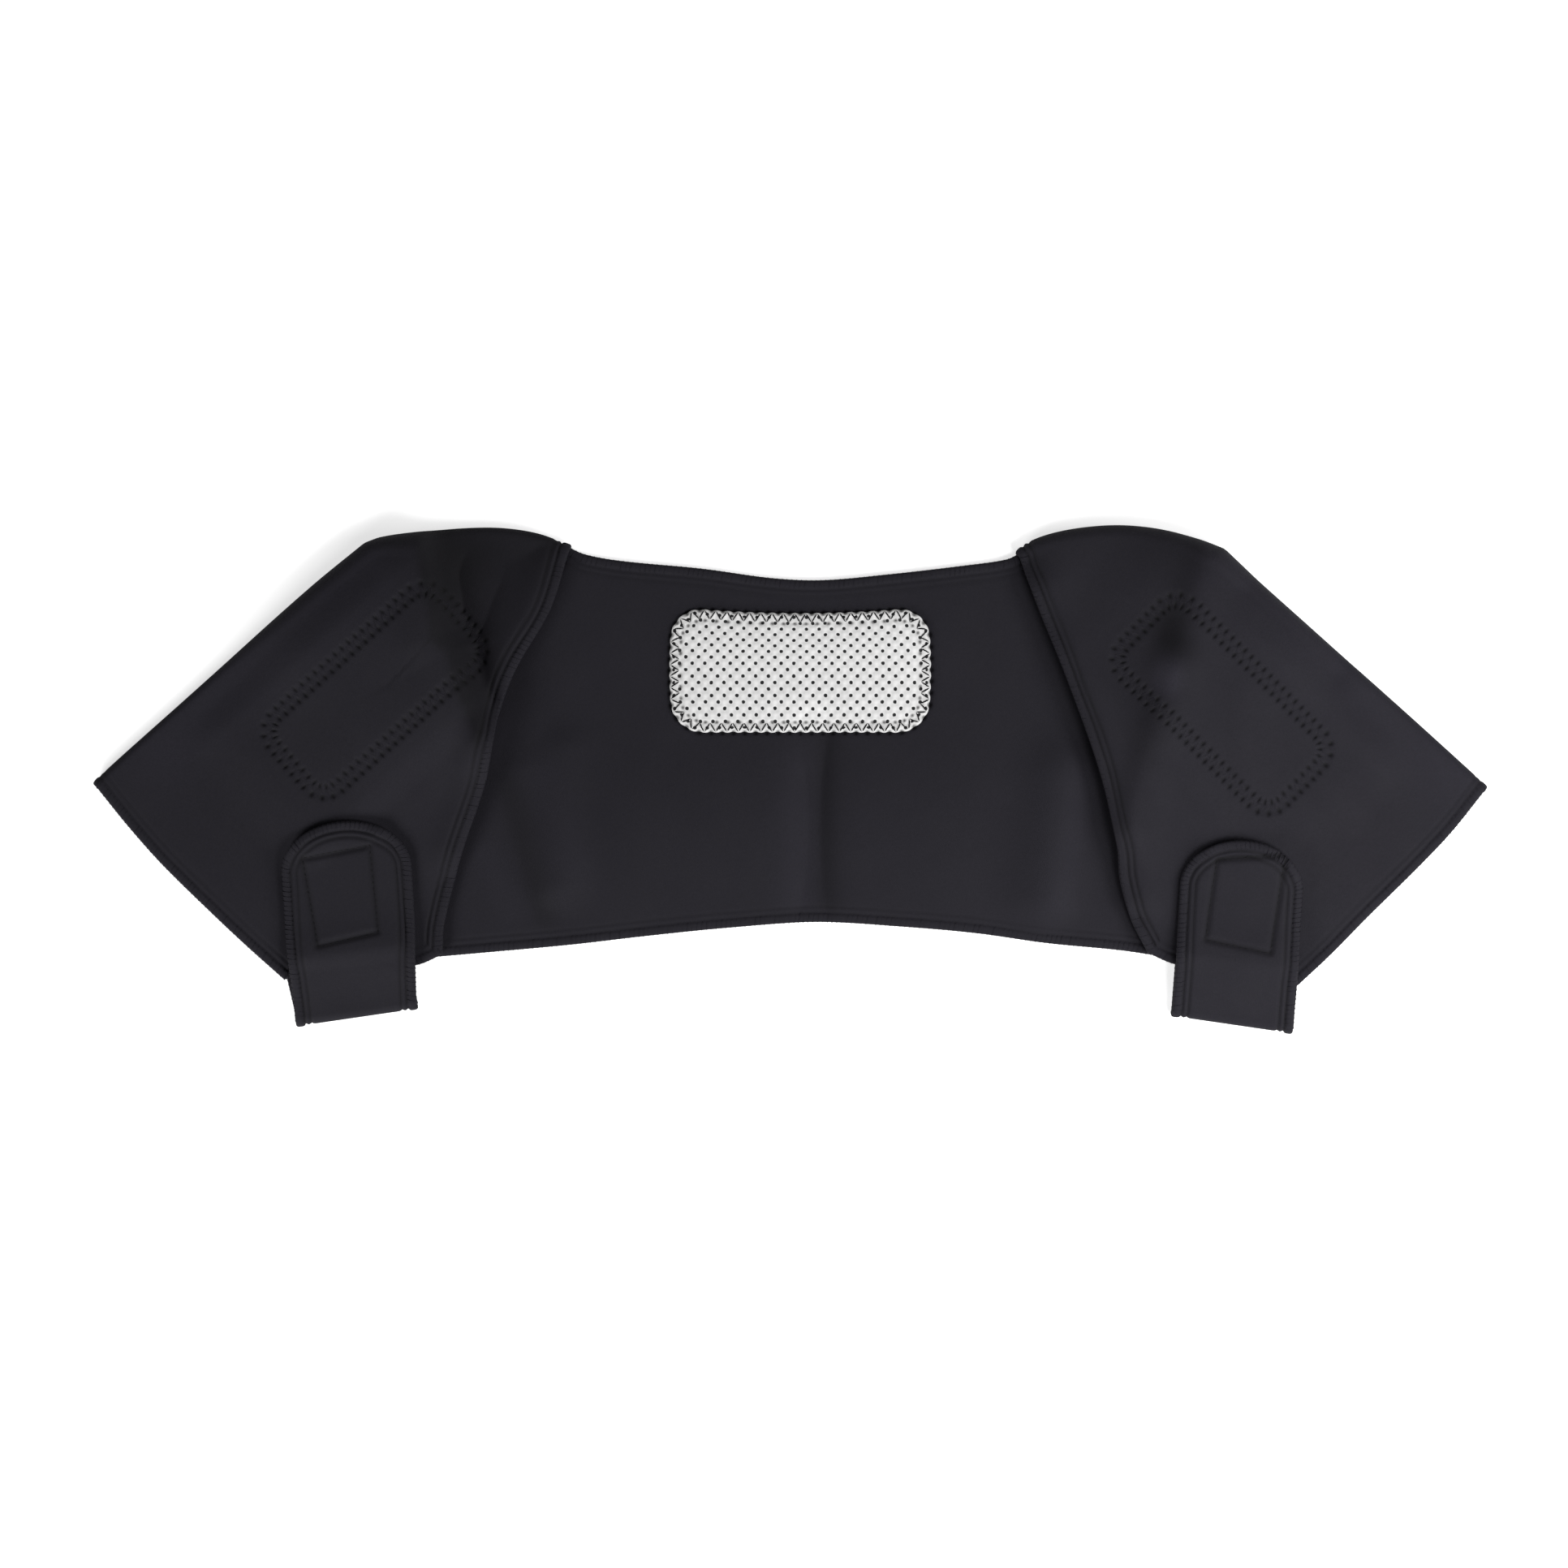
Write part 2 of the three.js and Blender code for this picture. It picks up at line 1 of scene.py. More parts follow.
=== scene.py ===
"""A neoprene brace for both shoulders, laid flat and open with the inner face of its back up.

The plan is worked out in millimetres, as on a cutting table, and each mesh is put into metres in
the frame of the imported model. Cloth walls are grids round a middle surface, stitches are grown
along paths by Geometry Nodes, and every finish is a procedural material.
"""
import math

import bpy
import numpy as np
from bpy.props import FloatProperty, FloatVectorProperty, IntProperty, PointerProperty
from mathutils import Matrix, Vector


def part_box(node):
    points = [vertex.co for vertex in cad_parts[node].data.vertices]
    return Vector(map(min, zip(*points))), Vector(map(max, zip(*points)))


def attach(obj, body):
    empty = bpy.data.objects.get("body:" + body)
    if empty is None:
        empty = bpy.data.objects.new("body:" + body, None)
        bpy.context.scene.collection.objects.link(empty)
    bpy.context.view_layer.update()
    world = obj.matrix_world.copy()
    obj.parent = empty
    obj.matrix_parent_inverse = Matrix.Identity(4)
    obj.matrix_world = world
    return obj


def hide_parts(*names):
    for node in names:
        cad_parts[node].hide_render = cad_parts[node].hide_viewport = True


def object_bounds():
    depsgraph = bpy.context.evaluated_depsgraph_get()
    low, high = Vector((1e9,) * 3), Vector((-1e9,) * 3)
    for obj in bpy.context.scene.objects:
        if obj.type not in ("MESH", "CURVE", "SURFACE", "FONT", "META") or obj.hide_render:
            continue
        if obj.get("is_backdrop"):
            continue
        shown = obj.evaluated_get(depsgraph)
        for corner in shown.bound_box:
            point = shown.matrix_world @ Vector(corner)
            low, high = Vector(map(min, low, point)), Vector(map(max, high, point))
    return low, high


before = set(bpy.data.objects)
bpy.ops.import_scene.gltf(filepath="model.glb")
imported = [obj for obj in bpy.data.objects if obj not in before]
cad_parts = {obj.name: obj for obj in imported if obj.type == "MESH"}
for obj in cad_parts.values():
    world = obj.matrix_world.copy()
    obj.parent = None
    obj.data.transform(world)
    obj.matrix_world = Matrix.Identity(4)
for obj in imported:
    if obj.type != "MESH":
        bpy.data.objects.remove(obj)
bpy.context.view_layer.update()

bl_info = {
    "name": "Shoulder brace",
    "version": (1, 0, 0),
    "blender": (4, 5, 0),
    "location": "3D View > Sidebar > Brace",
    "description": "Dresses the packed shoulder brace: cloth, heating pads, straps, stitches and stage",
    "category": "Object",
}

BODY = "root"
MM = 0.001

# The brace's own sizes, in millimetres
SLEEVE_REACH = 362
SHOULDER_RISE = 204
BACK_HEIGHT = 177
NEOPRENE = 3
LOFT = 12
LAYER_GAP = 2
CLEARANCE = 0.3
PAD_THICKNESS = 2
BACK_PAD_WIDTH = 135
BACK_PAD_HEIGHT = 65
BACK_PAD_DROP = 14
BACK_PAD_SHIFT = 2.7
SHOULDER_PAD_LENGTH = 124
SHOULDER_PAD_WIDTH = 58
PAD_CORNER = 13
STRAP_WIDTH = 63
STRAP_END = 25
HOOK_PATCH_LENGTH = 50
HOOK_PATCH_WIDTH = 40
HOOK_PATCH_THICKNESS = 1.5
HOOK_PATCH_CORNER = 4
BACK_RIPPLE = 4

# "out" from the centre line is in shares of SLEEVE_REACH, "up" from the bottom hem in shares of
# SHOULDER_RISE. Edges hold rows of (share of the way, bow), lift rows (path, width as a share of
# SLEEVE_REACH, height as a share of LOFT), and a stitched box its corners as (across, along).
# Creases are lift rows with a gentle side and a steep one: their width is (outer, inner). Painted
# shading rows hold how much darker the colour is painted there, as painted shade, as a share; below 0
# it is painted lighter, as painted light.
SIDES = {
    "left": {
        "sign": -1,
        "neck": (0.318, 0.953), "corner": (0.612, 0.959), "tip": (1.0, 0.352),
        "heel": (0.7275, -0.143), "foot": (0.502, -0.08), "seam_foot": (0.532, -0.09),
        "shoulder_fold": [(0.16, 0.057), (0.33, 0.082), (0.51, 0.08), (0.745, 0.055), (0.92, 0.029)],
        "sleeve_fold": [(0.2, 0.007), (0.74, 0.006), (0.96, 0.004)],
        "arm_hem": [(0.18, 0.017), (0.37, 0.026), (0.62, 0.021), (0.81, 0.013)],
        "flap_edge": [(0.14, 0), (0.3, 0.034), (0.42, 0.041), (0.57, 0.023), (0.76, 0.026), (0.93, 0.017)],
        "flap_hem": [(0.16, -0.04), (0.5, -0.04), (0.85, -0.015)],
        "seam": [(0.2, 0.03), (0.42, 0.06), (0.7, 0.04)],
        "pad_centre": (0.596, 0.586), "pad_turn": -41.4,
        "strap_fold": (0.6236, -0.24), "lean": 3.6, "root_lean": 13, "fold_turn": -8.3,
        "lap": 101.6, "flare": 0.06,
        "patch_along": 0.62, "patch_across": 0.1, "patch_turn": -8,
        "box": [(0.706, 0.822), (-0.407, 0.867), (-0.451, 0.429), (0.543, 0.378)],
        "lift": [
            ([(0.59, 0.7), (0.56, 0.55)], 0.15, 0.9),
            ([(0.38, 0.93), (0.48, 0.95), (0.6, 0.9), (0.7, 0.72)], 0.09, 0.45),
            ([(0.535, 0.93), (0.509, 0.72), (0.48, 0.62), (0.44, 0.43)], 0.034, 0.35),
            ([(0.456, 0.85), (0.466, 0.71), (0.441, 0.55)], 0.034, -0.55),
            ([(0.33, 0.9), (0.39, 0.66), (0.425, 0.48), (0.44, 0.36), (0.473, 0.18)], 0.036, 0.5),
        ],
        "creases": [
            ([(0.537, 0.934), (0.523, 0.871), (0.512, 0.795), (0.509, 0.719), (0.487, 0.682), (0.48, 0.619),
              (0.466, 0.557), (0.449, 0.482)], (0.07, 0.02), 0.5),
            ([(0.35, 0.97), (0.43, 0.96), (0.5, 0.95)], 0.085, -0.6),
            ([(0.33, 0.9), (0.363, 0.731), (0.395, 0.645), (0.42, 0.537), (0.438, 0.363), (0.456, 0.26),
              (0.475, 0.166), (0.495, 0.025)], 0.02, -0.22),
        ],
        "nap": [
            ([(0.534, 0.99), (0.523, 0.871), (0.512, 0.795), (0.509, 0.719), (0.487, 0.682), (0.48, 0.619),
              (0.466, 0.557), (0.449, 0.482)], (0.009, 0.07), 0.48),
            ([(0.36, 0.96), (0.43, 0.93), (0.47, 0.91)], 0.055, 0.33),
            ([(0.6, 0.9), (0.75, 0.67), (0.9, 0.44)], 0.06, -0.32),
        ],
    },
    "right": {
        "sign": 1,
        "neck": (0.314, 0.936), "corner": (0.61, 0.943), "tip": (0.987, 0.342),
        "heel": (0.716, -0.158), "foot": (0.502, -0.076), "seam_foot": (0.53, -0.088),
        "shoulder_fold": [
            (0.05, 0.043), (0.17, 0.088), (0.34, 0.117), (0.52, 0.123), (0.7, 0.1), (0.87, 0.052),
        ],
        "sleeve_fold": [(0.17, -0.002), (0.63, 0.003), (0.95, 0.002)],
        "arm_hem": [(0.19, 0.017), (0.38, 0.018), (0.64, 0.011), (0.83, 0.009)],
        "flap_edge": [
            (0.1, 0.002), (0.32, 0.017), (0.55, 0.0225), (0.73, 0.0075), (0.81, -0.01), (0.91, -0.014),
        ],
        "flap_hem": [(0.18, -0.035), (0.5, -0.035), (0.85, -0.015)],
        "seam": [(0.2, 0.025), (0.45, 0.04), (0.75, 0.02)],
        "pad_centre": (0.605, 0.552), "pad_turn": -44.5,
        "strap_fold": (0.622, -0.258), "lean": 3.5, "root_lean": 4.5, "fold_turn": -8.3,
        "lap": 95.3, "flare": 0,
        "patch_along": 0.65, "patch_across": 0.04, "patch_turn": -8,
        "box": [(0.686, 0.937), (-0.435, 0.888), (-0.541, 0.455), (0.533, 0.402)],
        "lift": [
            ([(0.6, 0.7), (0.57, 0.53)], 0.15, 0.95),
            ([(0.38, 0.93), (0.48, 0.96), (0.6, 0.9), (0.7, 0.72)], 0.09, 0.4),
            ([(0.585, 0.94), (0.562, 0.79), (0.545, 0.65), (0.499, 0.41), (0.477, 0.24)], 0.034, 0.25),
            ([(0.532, 0.76), (0.537, 0.72)], 0.03, -0.25),
            ([(0.34, 0.83), (0.387, 0.62), (0.421, 0.45), (0.453, 0.24), (0.473, 0.06)], 0.038, 0.65),
            ([(0.65, 0.84), (0.704, 0.75), (0.769, 0.64)], 0.026, -0.2),
        ],
        "creases": [
            ([(0.585, 0.94), (0.562, 0.79), (0.545, 0.65), (0.52, 0.52), (0.499, 0.41), (0.477, 0.24)],
             (0.05, 0.022), 0.2),
            ([(0.53, 0.69), (0.527, 0.65)], 0.024, 0.22),
            ([(0.325, 0.9), (0.337, 0.849), (0.387, 0.623), (0.433, 0.385), (0.458, 0.205), (0.477, 0.023)],
             0.022, -0.5),
        ],
        "nap": [
            ([(0.53, 0.765), (0.535, 0.7)], 0.027, 0.42), ([(0.526, 0.64), (0.524, 0.6)], 0.019, -0.8),
            ([(0.62, 0.88), (0.78, 0.62), (0.93, 0.38)], 0.06, -0.28),
            ([(0.53, 0.58), (0.5, 0.42)], 0.02, 0.12),
        ],
    },
}
# Edges of the back panel, as (share of the way, share of the depth)
NECKLINE = [
    (0.04, 0.26), (0.12, 0.46), (0.3, 0.68), (0.45, 0.95), (0.56, 1), (0.7, 0.79), (0.88, 0.44),
    (0.97, 0.22),
]
BOTTOM_HEM = [
    (0.09, 0.16), (0.2, 0.37), (0.3, 0.61), (0.41, 0.84), (0.53, 1), (0.65, 0.86), (0.745, 0.68),
    (0.84, 0.4), (0.94, 0.19),
]
# Waves of the back: (path as shares of SLEEVE_REACH and BACK_HEIGHT, width, height as a share)
RIPPLES = [
    ([(-0.25, 0.2), (0.3, 0.2)], 0.11, 0.9),
    ([(-0.33, 0.5), (-0.335, 0.12)], 0.035, 0.7),
    ([(0.37, 0.42), (0.355, 0.08)], 0.04, 0.75),
    ([(0.027, 0.55), (0.027, 0.02)], 0.022, -0.8),
]
# Finer waves, which the light shows
SMALL_RIPPLES = [
    ([(-0.2, 0.42), (0.24, 0.42)], 0.09, 0.6),
    ([(0.036, 0.56), (0.036, 0.02)], (0.012, 0.03), -0.6),
    ([(-0.385, 0.44), (-0.345, 0.1)], (0.035, 0.02), 0.5),
    ([(0.39, 0.46), (0.365, 0.08)], (0.022, 0.06), 0.6),
]
# Where the back's colour is painted darker, as painted shade, or lighter below 0, as painted light
BACK_PAINTED_SHADING = [
    ([(0.043, 0.52), (0.043, 0.02)], (0.03, 0.012), 0.22),
    ([(0.0, 0.46), (0.0, 0.02)], 0.03, -0.22),
    ([(-0.413, 0.4), (-0.36, 0.02)], (0.025, 0.014), 0.3),
    ([(-0.355, 0.42), (-0.31, 0.15)], 0.03, -0.16),
    ([(-0.44, 0.2), (-0.405, 0.03)], 0.02, -0.14),
    ([(0.407, 0.42), (0.379, 0.06)], 0.025, -0.2),
]
RIPPLE_EDGE_SHARE = 0.07
# A flap rises over its pad and a strap over its patch: (end, slope) along and across, in half sizes
PAD_RISE = ((1.6, 0.5), (1.8, 0.6))
PATCH_RISE = ((1.5, 0.4), (1.55, 0.4))
SHOULDER_SHARE = 0.55  # of the fold's columns, before the corner
NECK_SHARE = 0.023  # of the back panel's side edge, before the seam starts
NECK_TUCK = 3  # how far the back's corner reaches under the shoulder's edge, in millimetres
BEND_WINDOW = 0.05  # half the stretch over which the fold's direction is taken

# How the cloth is worked: the serged rim, the stitch channels and the grids
# Rim steps are in bead widths; loops take their direction from the cloth RIM_CELLS steps inside the rim
RIM_STEPS = (0, 0.08, 0.2, 0.35, 0.5, 0.65, 0.8, 0.93, 1.04, 1.16, 1.3, 1.45, 1.6, 1.75, 1.9, 2.1, 2.3)
RIM_CELLS = 3
PANEL_BEAD = 4.8
STRAP_BEAD = 4.6
BEAD_HALF = 1.9
RIM_HALF = 0.15
NEEDLE_GROOVE = 0.75
NEEDLE_GROOVE_WIDTH = 0.75
NEEDLE_GROOVES = (0.4, 3.4)  # how far inside the bead the two rows of needle holes lie
GROOVE_SHADE = 0.4
HEM_GROOVE_SHARE = 0.3  # of the depth that the grooves have along the flaps' free edges
# How far the painted shading may darken or lighten the cloth's colour, as a factor
PAINTED_SHADING_RANGE = (0.3, 1.6)
SEAM_DIP = 0.4
SEAM_DIP_WIDTH = 1.4
# Rough lengths of the edges, by which the rows and columns of the grids are spaced
FOLD_LENGTH = 300
SEAM_LENGTH = 200
FREE_EDGE_LENGTH = 235
BACK_SPAN = 370
BACK_SIDE_LENGTH = 205
ROOT_LENGTH = 40
PANEL_SPACING = 1.9
STRAP_SPACING = 1.0
PAD_SPACING = 1.0
HIDDEN_PAD_SPACING = 2.4
HIDDEN_STRAP_SPACING = 2.0
HIDDEN_SPACING = 3.6
BEND_ROWS = 13
ZIGZAG_WIDTH = 5.6
SHOULDER_STITCHES = 67
BACK_PAD_STITCHES = 60
SHOULDER_RING_INSET = 4.6
BACK_RING_INSET = 2.7
SCALLOP = 0.6
LOOP_STEPS = 14
LOOP_SIDES = 6
LOOP_SQUARENESS = 0.62
LOOP_SLANT = 0.6
LOOP_SINK = 0.08
LOOP_SCALES = ((0.9, 0.95, 0.94), (1.1, 1.04, 1.05))
STITCH_STEPS = 8.0
STITCH_SIDES = 5
NEEDLE_SHARPNESS = 6.0
DOT_EDGE = (0.55, 0.71)  # where a dot starts and where it is full, on a wave from -1 to 1
BACK_PAD_CORNER = 15.5
BACK_ZIGZAG_WIDTH = 4.8
CHANNEL_DEPTH = 0.55
CHANNEL_WIDTH = 3.4
FAR_ASIDE = 100.0
RING_MARGIN = 15
PAD_EDGE_RADIUS = 1.6
PAD_HELD_SHARE = 0.7
PAD_HELD_WIDTH = 3
PAD_HELD_SLOPE = 5
PAD_PLUMP = 0.5
PAD_PLUMP_START = 4
PAD_PLUMP_SLOPE = 14
STRAP_SLOPE = 32
STRAP_SINK = 0.38
STRAP_HUMP = 2.2
STRAP_HUMP_WIDTH = 14
BOX_GROOVE_DEPTH = 1.1
BOX_GROOVE_WIDTH = 1.4

# The view, in millimetres from the origin of the model
PHOTO_CENTRE = (-3.3, -2.3)
PHOTO_WIDTH = 807.6
CAMERA_AIM_HEIGHT = 8
FLOOR_GAP = 0.05

# Half the floor's side, in metres
FLOOR_HALF = 20.0

# Soft lights round the table: their direction and height in degrees, and their distance in metres
LIGHT_SIZE = 0.35
LIGHTS = {
    "key": (-40, 50, 1.05), "low": (-135, 22, 1.05), "side": (0, 35, 1.05), "near": (-25, 25, 0.75),
    "back": (90, 30, 1.05),
}


# Sizes and colours that a user would change

class BraceCloth(bpy.types.PropertyGroup):
    cloth_colour: FloatVectorProperty(
        name="Cloth", description="Colour of the neoprene's jersey face", subtype="COLOR", size=4,
        min=0, max=1, default=(0.0122, 0.0112, 0.0160, 1))
    knit_pitch: FloatProperty(
        name="Knit pitch", description="Width of one wale of the jersey", unit="LENGTH", default=0.9 * MM)
    tape_colour: FloatVectorProperty(
        name="Hook tape", description="Colour of the hook patches", subtype="COLOR", size=4,
        min=0, max=1, default=(0.007, 0.007, 0.008, 1))


class BracePads(bpy.types.PropertyGroup):
    pad_colour: FloatVectorProperty(
        name="Pad cloth", description="Colour of the heating pads", subtype="COLOR", size=4,
        min=0, max=1, default=(0.87, 0.865, 0.86, 1))
    dot_colour: FloatVectorProperty(
        name="Dots", description="Colour of the printed dots", subtype="COLOR", size=4,
        min=0, max=1, default=(0.012, 0.012, 0.013, 1))
    dot_across: FloatProperty(
        name="Dot spacing across", description="Between dots of one row", unit="LENGTH", default=6.56 * MM)
    dot_up: FloatProperty(
        name="Dot spacing up", description="Between every second row", unit="LENGTH", default=6.7 * MM)


class BraceStitches(bpy.types.PropertyGroup):
    thread_colour: FloatVectorProperty(
        name="Thread", description="Colour of the black thread", subtype="COLOR", size=4,
        min=0, max=1, default=(0.0075, 0.0075, 0.009, 1))
    thread_radius: FloatProperty(
        name="Thread radius", description="Half the thickness of a thread", unit="LENGTH", default=0.3 * MM)
    overlock_pitch: FloatProperty(
        name="Overlock pitch", description="Between two loops of a serged edge", unit="LENGTH",
        default=2.5 * MM)
    run_pitch: FloatProperty(
        name="Stitch length", description="Between two needle holes of a straight seam", unit="LENGTH",
        default=3.2 * MM)
    seed: IntProperty(
        name="Seed", description="Seed of the loops' unevenness", default=4)


class BraceStage(bpy.types.PropertyGroup):
    lens: FloatProperty(
        name="Lens", description="Focal length in millimetres of a 36 mm wide film", default=100)
    floor_colour: FloatVectorProperty(
        name="Floor", description="Colour of the table", subtype="COLOR", size=4,
        min=0, max=1, default=(0.92, 0.92, 0.92, 1))
    floor_glow: FloatProperty(
        name="Floor glow", description="Light given off by the table, as a light table's", default=0.62)
    key_power: FloatProperty(
        name="Key light", description="Power of the high light at the front right in watts", default=5.3)
    low_power: FloatProperty(
        name="Low light", description="Power of the low light at the front left in watts", default=7.4)
    side_power: FloatProperty(
        name="Side light", description="Power of the light on the right in watts", default=2.8)
    near_power: FloatProperty(
        name="Near light", description="Power of the low light close by on the right in watts", default=1.9)
    back_power: FloatProperty(
        name="Back light", description="Power of the light behind the table in watts", default=1.6)
    room_light: FloatProperty(
        name="Room light", description="Strength of the pale room", default=0.057)


def settings(name):
    return getattr(bpy.context.scene, name)


# Shapes in the plan: points are arrays of shape (..., 2), in millimetres

def mix(a, b, share):
    return a + (b - a) * share


def ease(share):
    s = np.clip(share, 0, 1)
    return s * s * (3 - 2 * s)


def length_of(vectors):
    return np.linalg.norm(vectors, axis=-1)


def unit(vectors):
    return vectors / np.maximum(length_of(vectors), 1e-12)[..., None]


def place(shares):
    return np.asarray(shares, float) * (SLEEVE_REACH, SHOULDER_RISE)


def smooth(rows, places):
    """The height of a smooth curve through rows of (place, height), with slopes from the neighbours."""
    x, y = np.asarray(rows, float).T
    slope = np.empty_like(x)
    slope[1:-1] = (y[2:] - y[:-2]) / (x[2:] - x[:-2])
    slope[[0, -1]] = (y[[1, -1]] - y[[0, -2]]) / (x[[1, -1]] - x[[0, -2]])
    right = np.clip(np.searchsorted(x, places), 1, len(x) - 1)
    left = right - 1
    span = x[right] - x[left]
    t = (places - x[left]) / span
    start = (1 + 2 * t) * (1 - t) ** 2 * y[left] + t * (1 - t) ** 2 * slope[left] * span
    return start + t * t * (3 - 2 * t) * y[right] + t * t * (t - 1) * slope[right] * span


def bowed(start, end, bows, shares):
    """An edge between two corners, with its bow to the left of its direction."""
    along = end - start
    aside = np.array([-along[1], along[0]])
    rows = [(0, 0), *bows, (1, 0)]
    return start + shares[:, None] * along + smooth(rows, shares)[:, None] * aside


def from_path(points, path):
    """The distance to a line of straight stretches, and the side: 1 on its left, -1 on its right."""
    nearest = np.full(points.shape[:-1], np.inf)
    side = np.zeros(points.shape[:-1])
    for a, b in zip(path[:-1], path[1:]):
        along = b - a
        share = np.clip((points - a) @ along / (along @ along), 0, 1)
        offset = points - a - share[..., None] * along
        distance = length_of(offset)
        aside = (along[0] * offset[..., 1] - along[1] * offset[..., 0]) / math.hypot(*along)
        closer = distance < nearest
        nearest = np.where(closer, distance, nearest)
        side = np.where(closer, aside / np.maximum(distance, 1e-9), side)
    return nearest, side


def ridges(rows, points):
    """The height of rounded ridges, each of one width or of one to each side of its path."""
    total = np.zeros(points.shape[:-1])
    for path, width, height in rows:
        left, right = np.broadcast_to(width, 2)
        distance, side = from_path(points, path)
        total += height * np.exp(-(distance / mix(right, left, (1 + side) / 2)) ** 2)
    return total


def risen(rise, along, across):
    """1 over a pad or a patch, easing to 0 around it; along and across are in its half sizes."""
    (along_end, along_slope), (across_end, across_slope) = rise
    return ease((along_end - along) / along_slope) * ease((across_end - across) / across_slope)


def between_edges(start, finish, first, last, u, v):
    """The grid between four edges that share their corners: u runs along start, v along first."""
    u = u[None, :, None]
    v = v[:, None, None]
    ruled = start[None] * (1 - v) + finish[None] * v + first[:, None] * (1 - u) + last[:, None] * u
    corners = start[0] * (1 - u) * (1 - v) + start[-1] * u * (1 - v)
    return ruled - corners - finish[0] * (1 - u) * v - finish[-1] * u * v


def round_corners(across, along, radius_across, radius_along, half_width, half_length):
    """A rounded rectangle as a grid: its corner squares are bent to quarter ellipses."""
    p = (np.abs(across) - half_width + radius_across) / radius_across
    q = (np.abs(along) - half_length + radius_along) / radius_along
    corner = (p > 0) & (q > 0)
    p, q = np.clip(p, 0, 1), np.clip(q, 0, 1)
    bent_across = np.sign(across) * (half_width - radius_across * (1 - p * np.sqrt(1 - q * q / 2)))
    bent_along = np.sign(along) * (half_length - radius_along * (1 - q * np.sqrt(1 - p * p / 2)))
    return np.where(corner, bent_across, across), np.where(corner, bent_along, along)


def spaced(length, spacing, bead_at_start=0.0, bead_at_end=0.0):
    """Shares along an edge, evenly spaced apart from the finer steps of a serged bead."""
    rim = np.array(RIM_STEPS)
    head = rim * bead_at_start if bead_at_start else rim[:1]
    tail = rim * bead_at_end if bead_at_end else rim[:1]
    inner = length - head[-1] - tail[-1]
    even = head[-1] + np.linspace(0, inner, math.ceil(inner / spacing) + 1)
    return np.concatenate([head[:-1], even, length - tail[-2::-1]]) / length


def turned(points, degrees):
    angle = math.radians(degrees)
    c, s = math.cos(angle), math.sin(angle)
    return points @ np.array([[c, s], [-s, c]])


def leaning(degrees):
    return np.array([math.sin(math.radians(degrees)), math.cos(math.radians(degrees))])


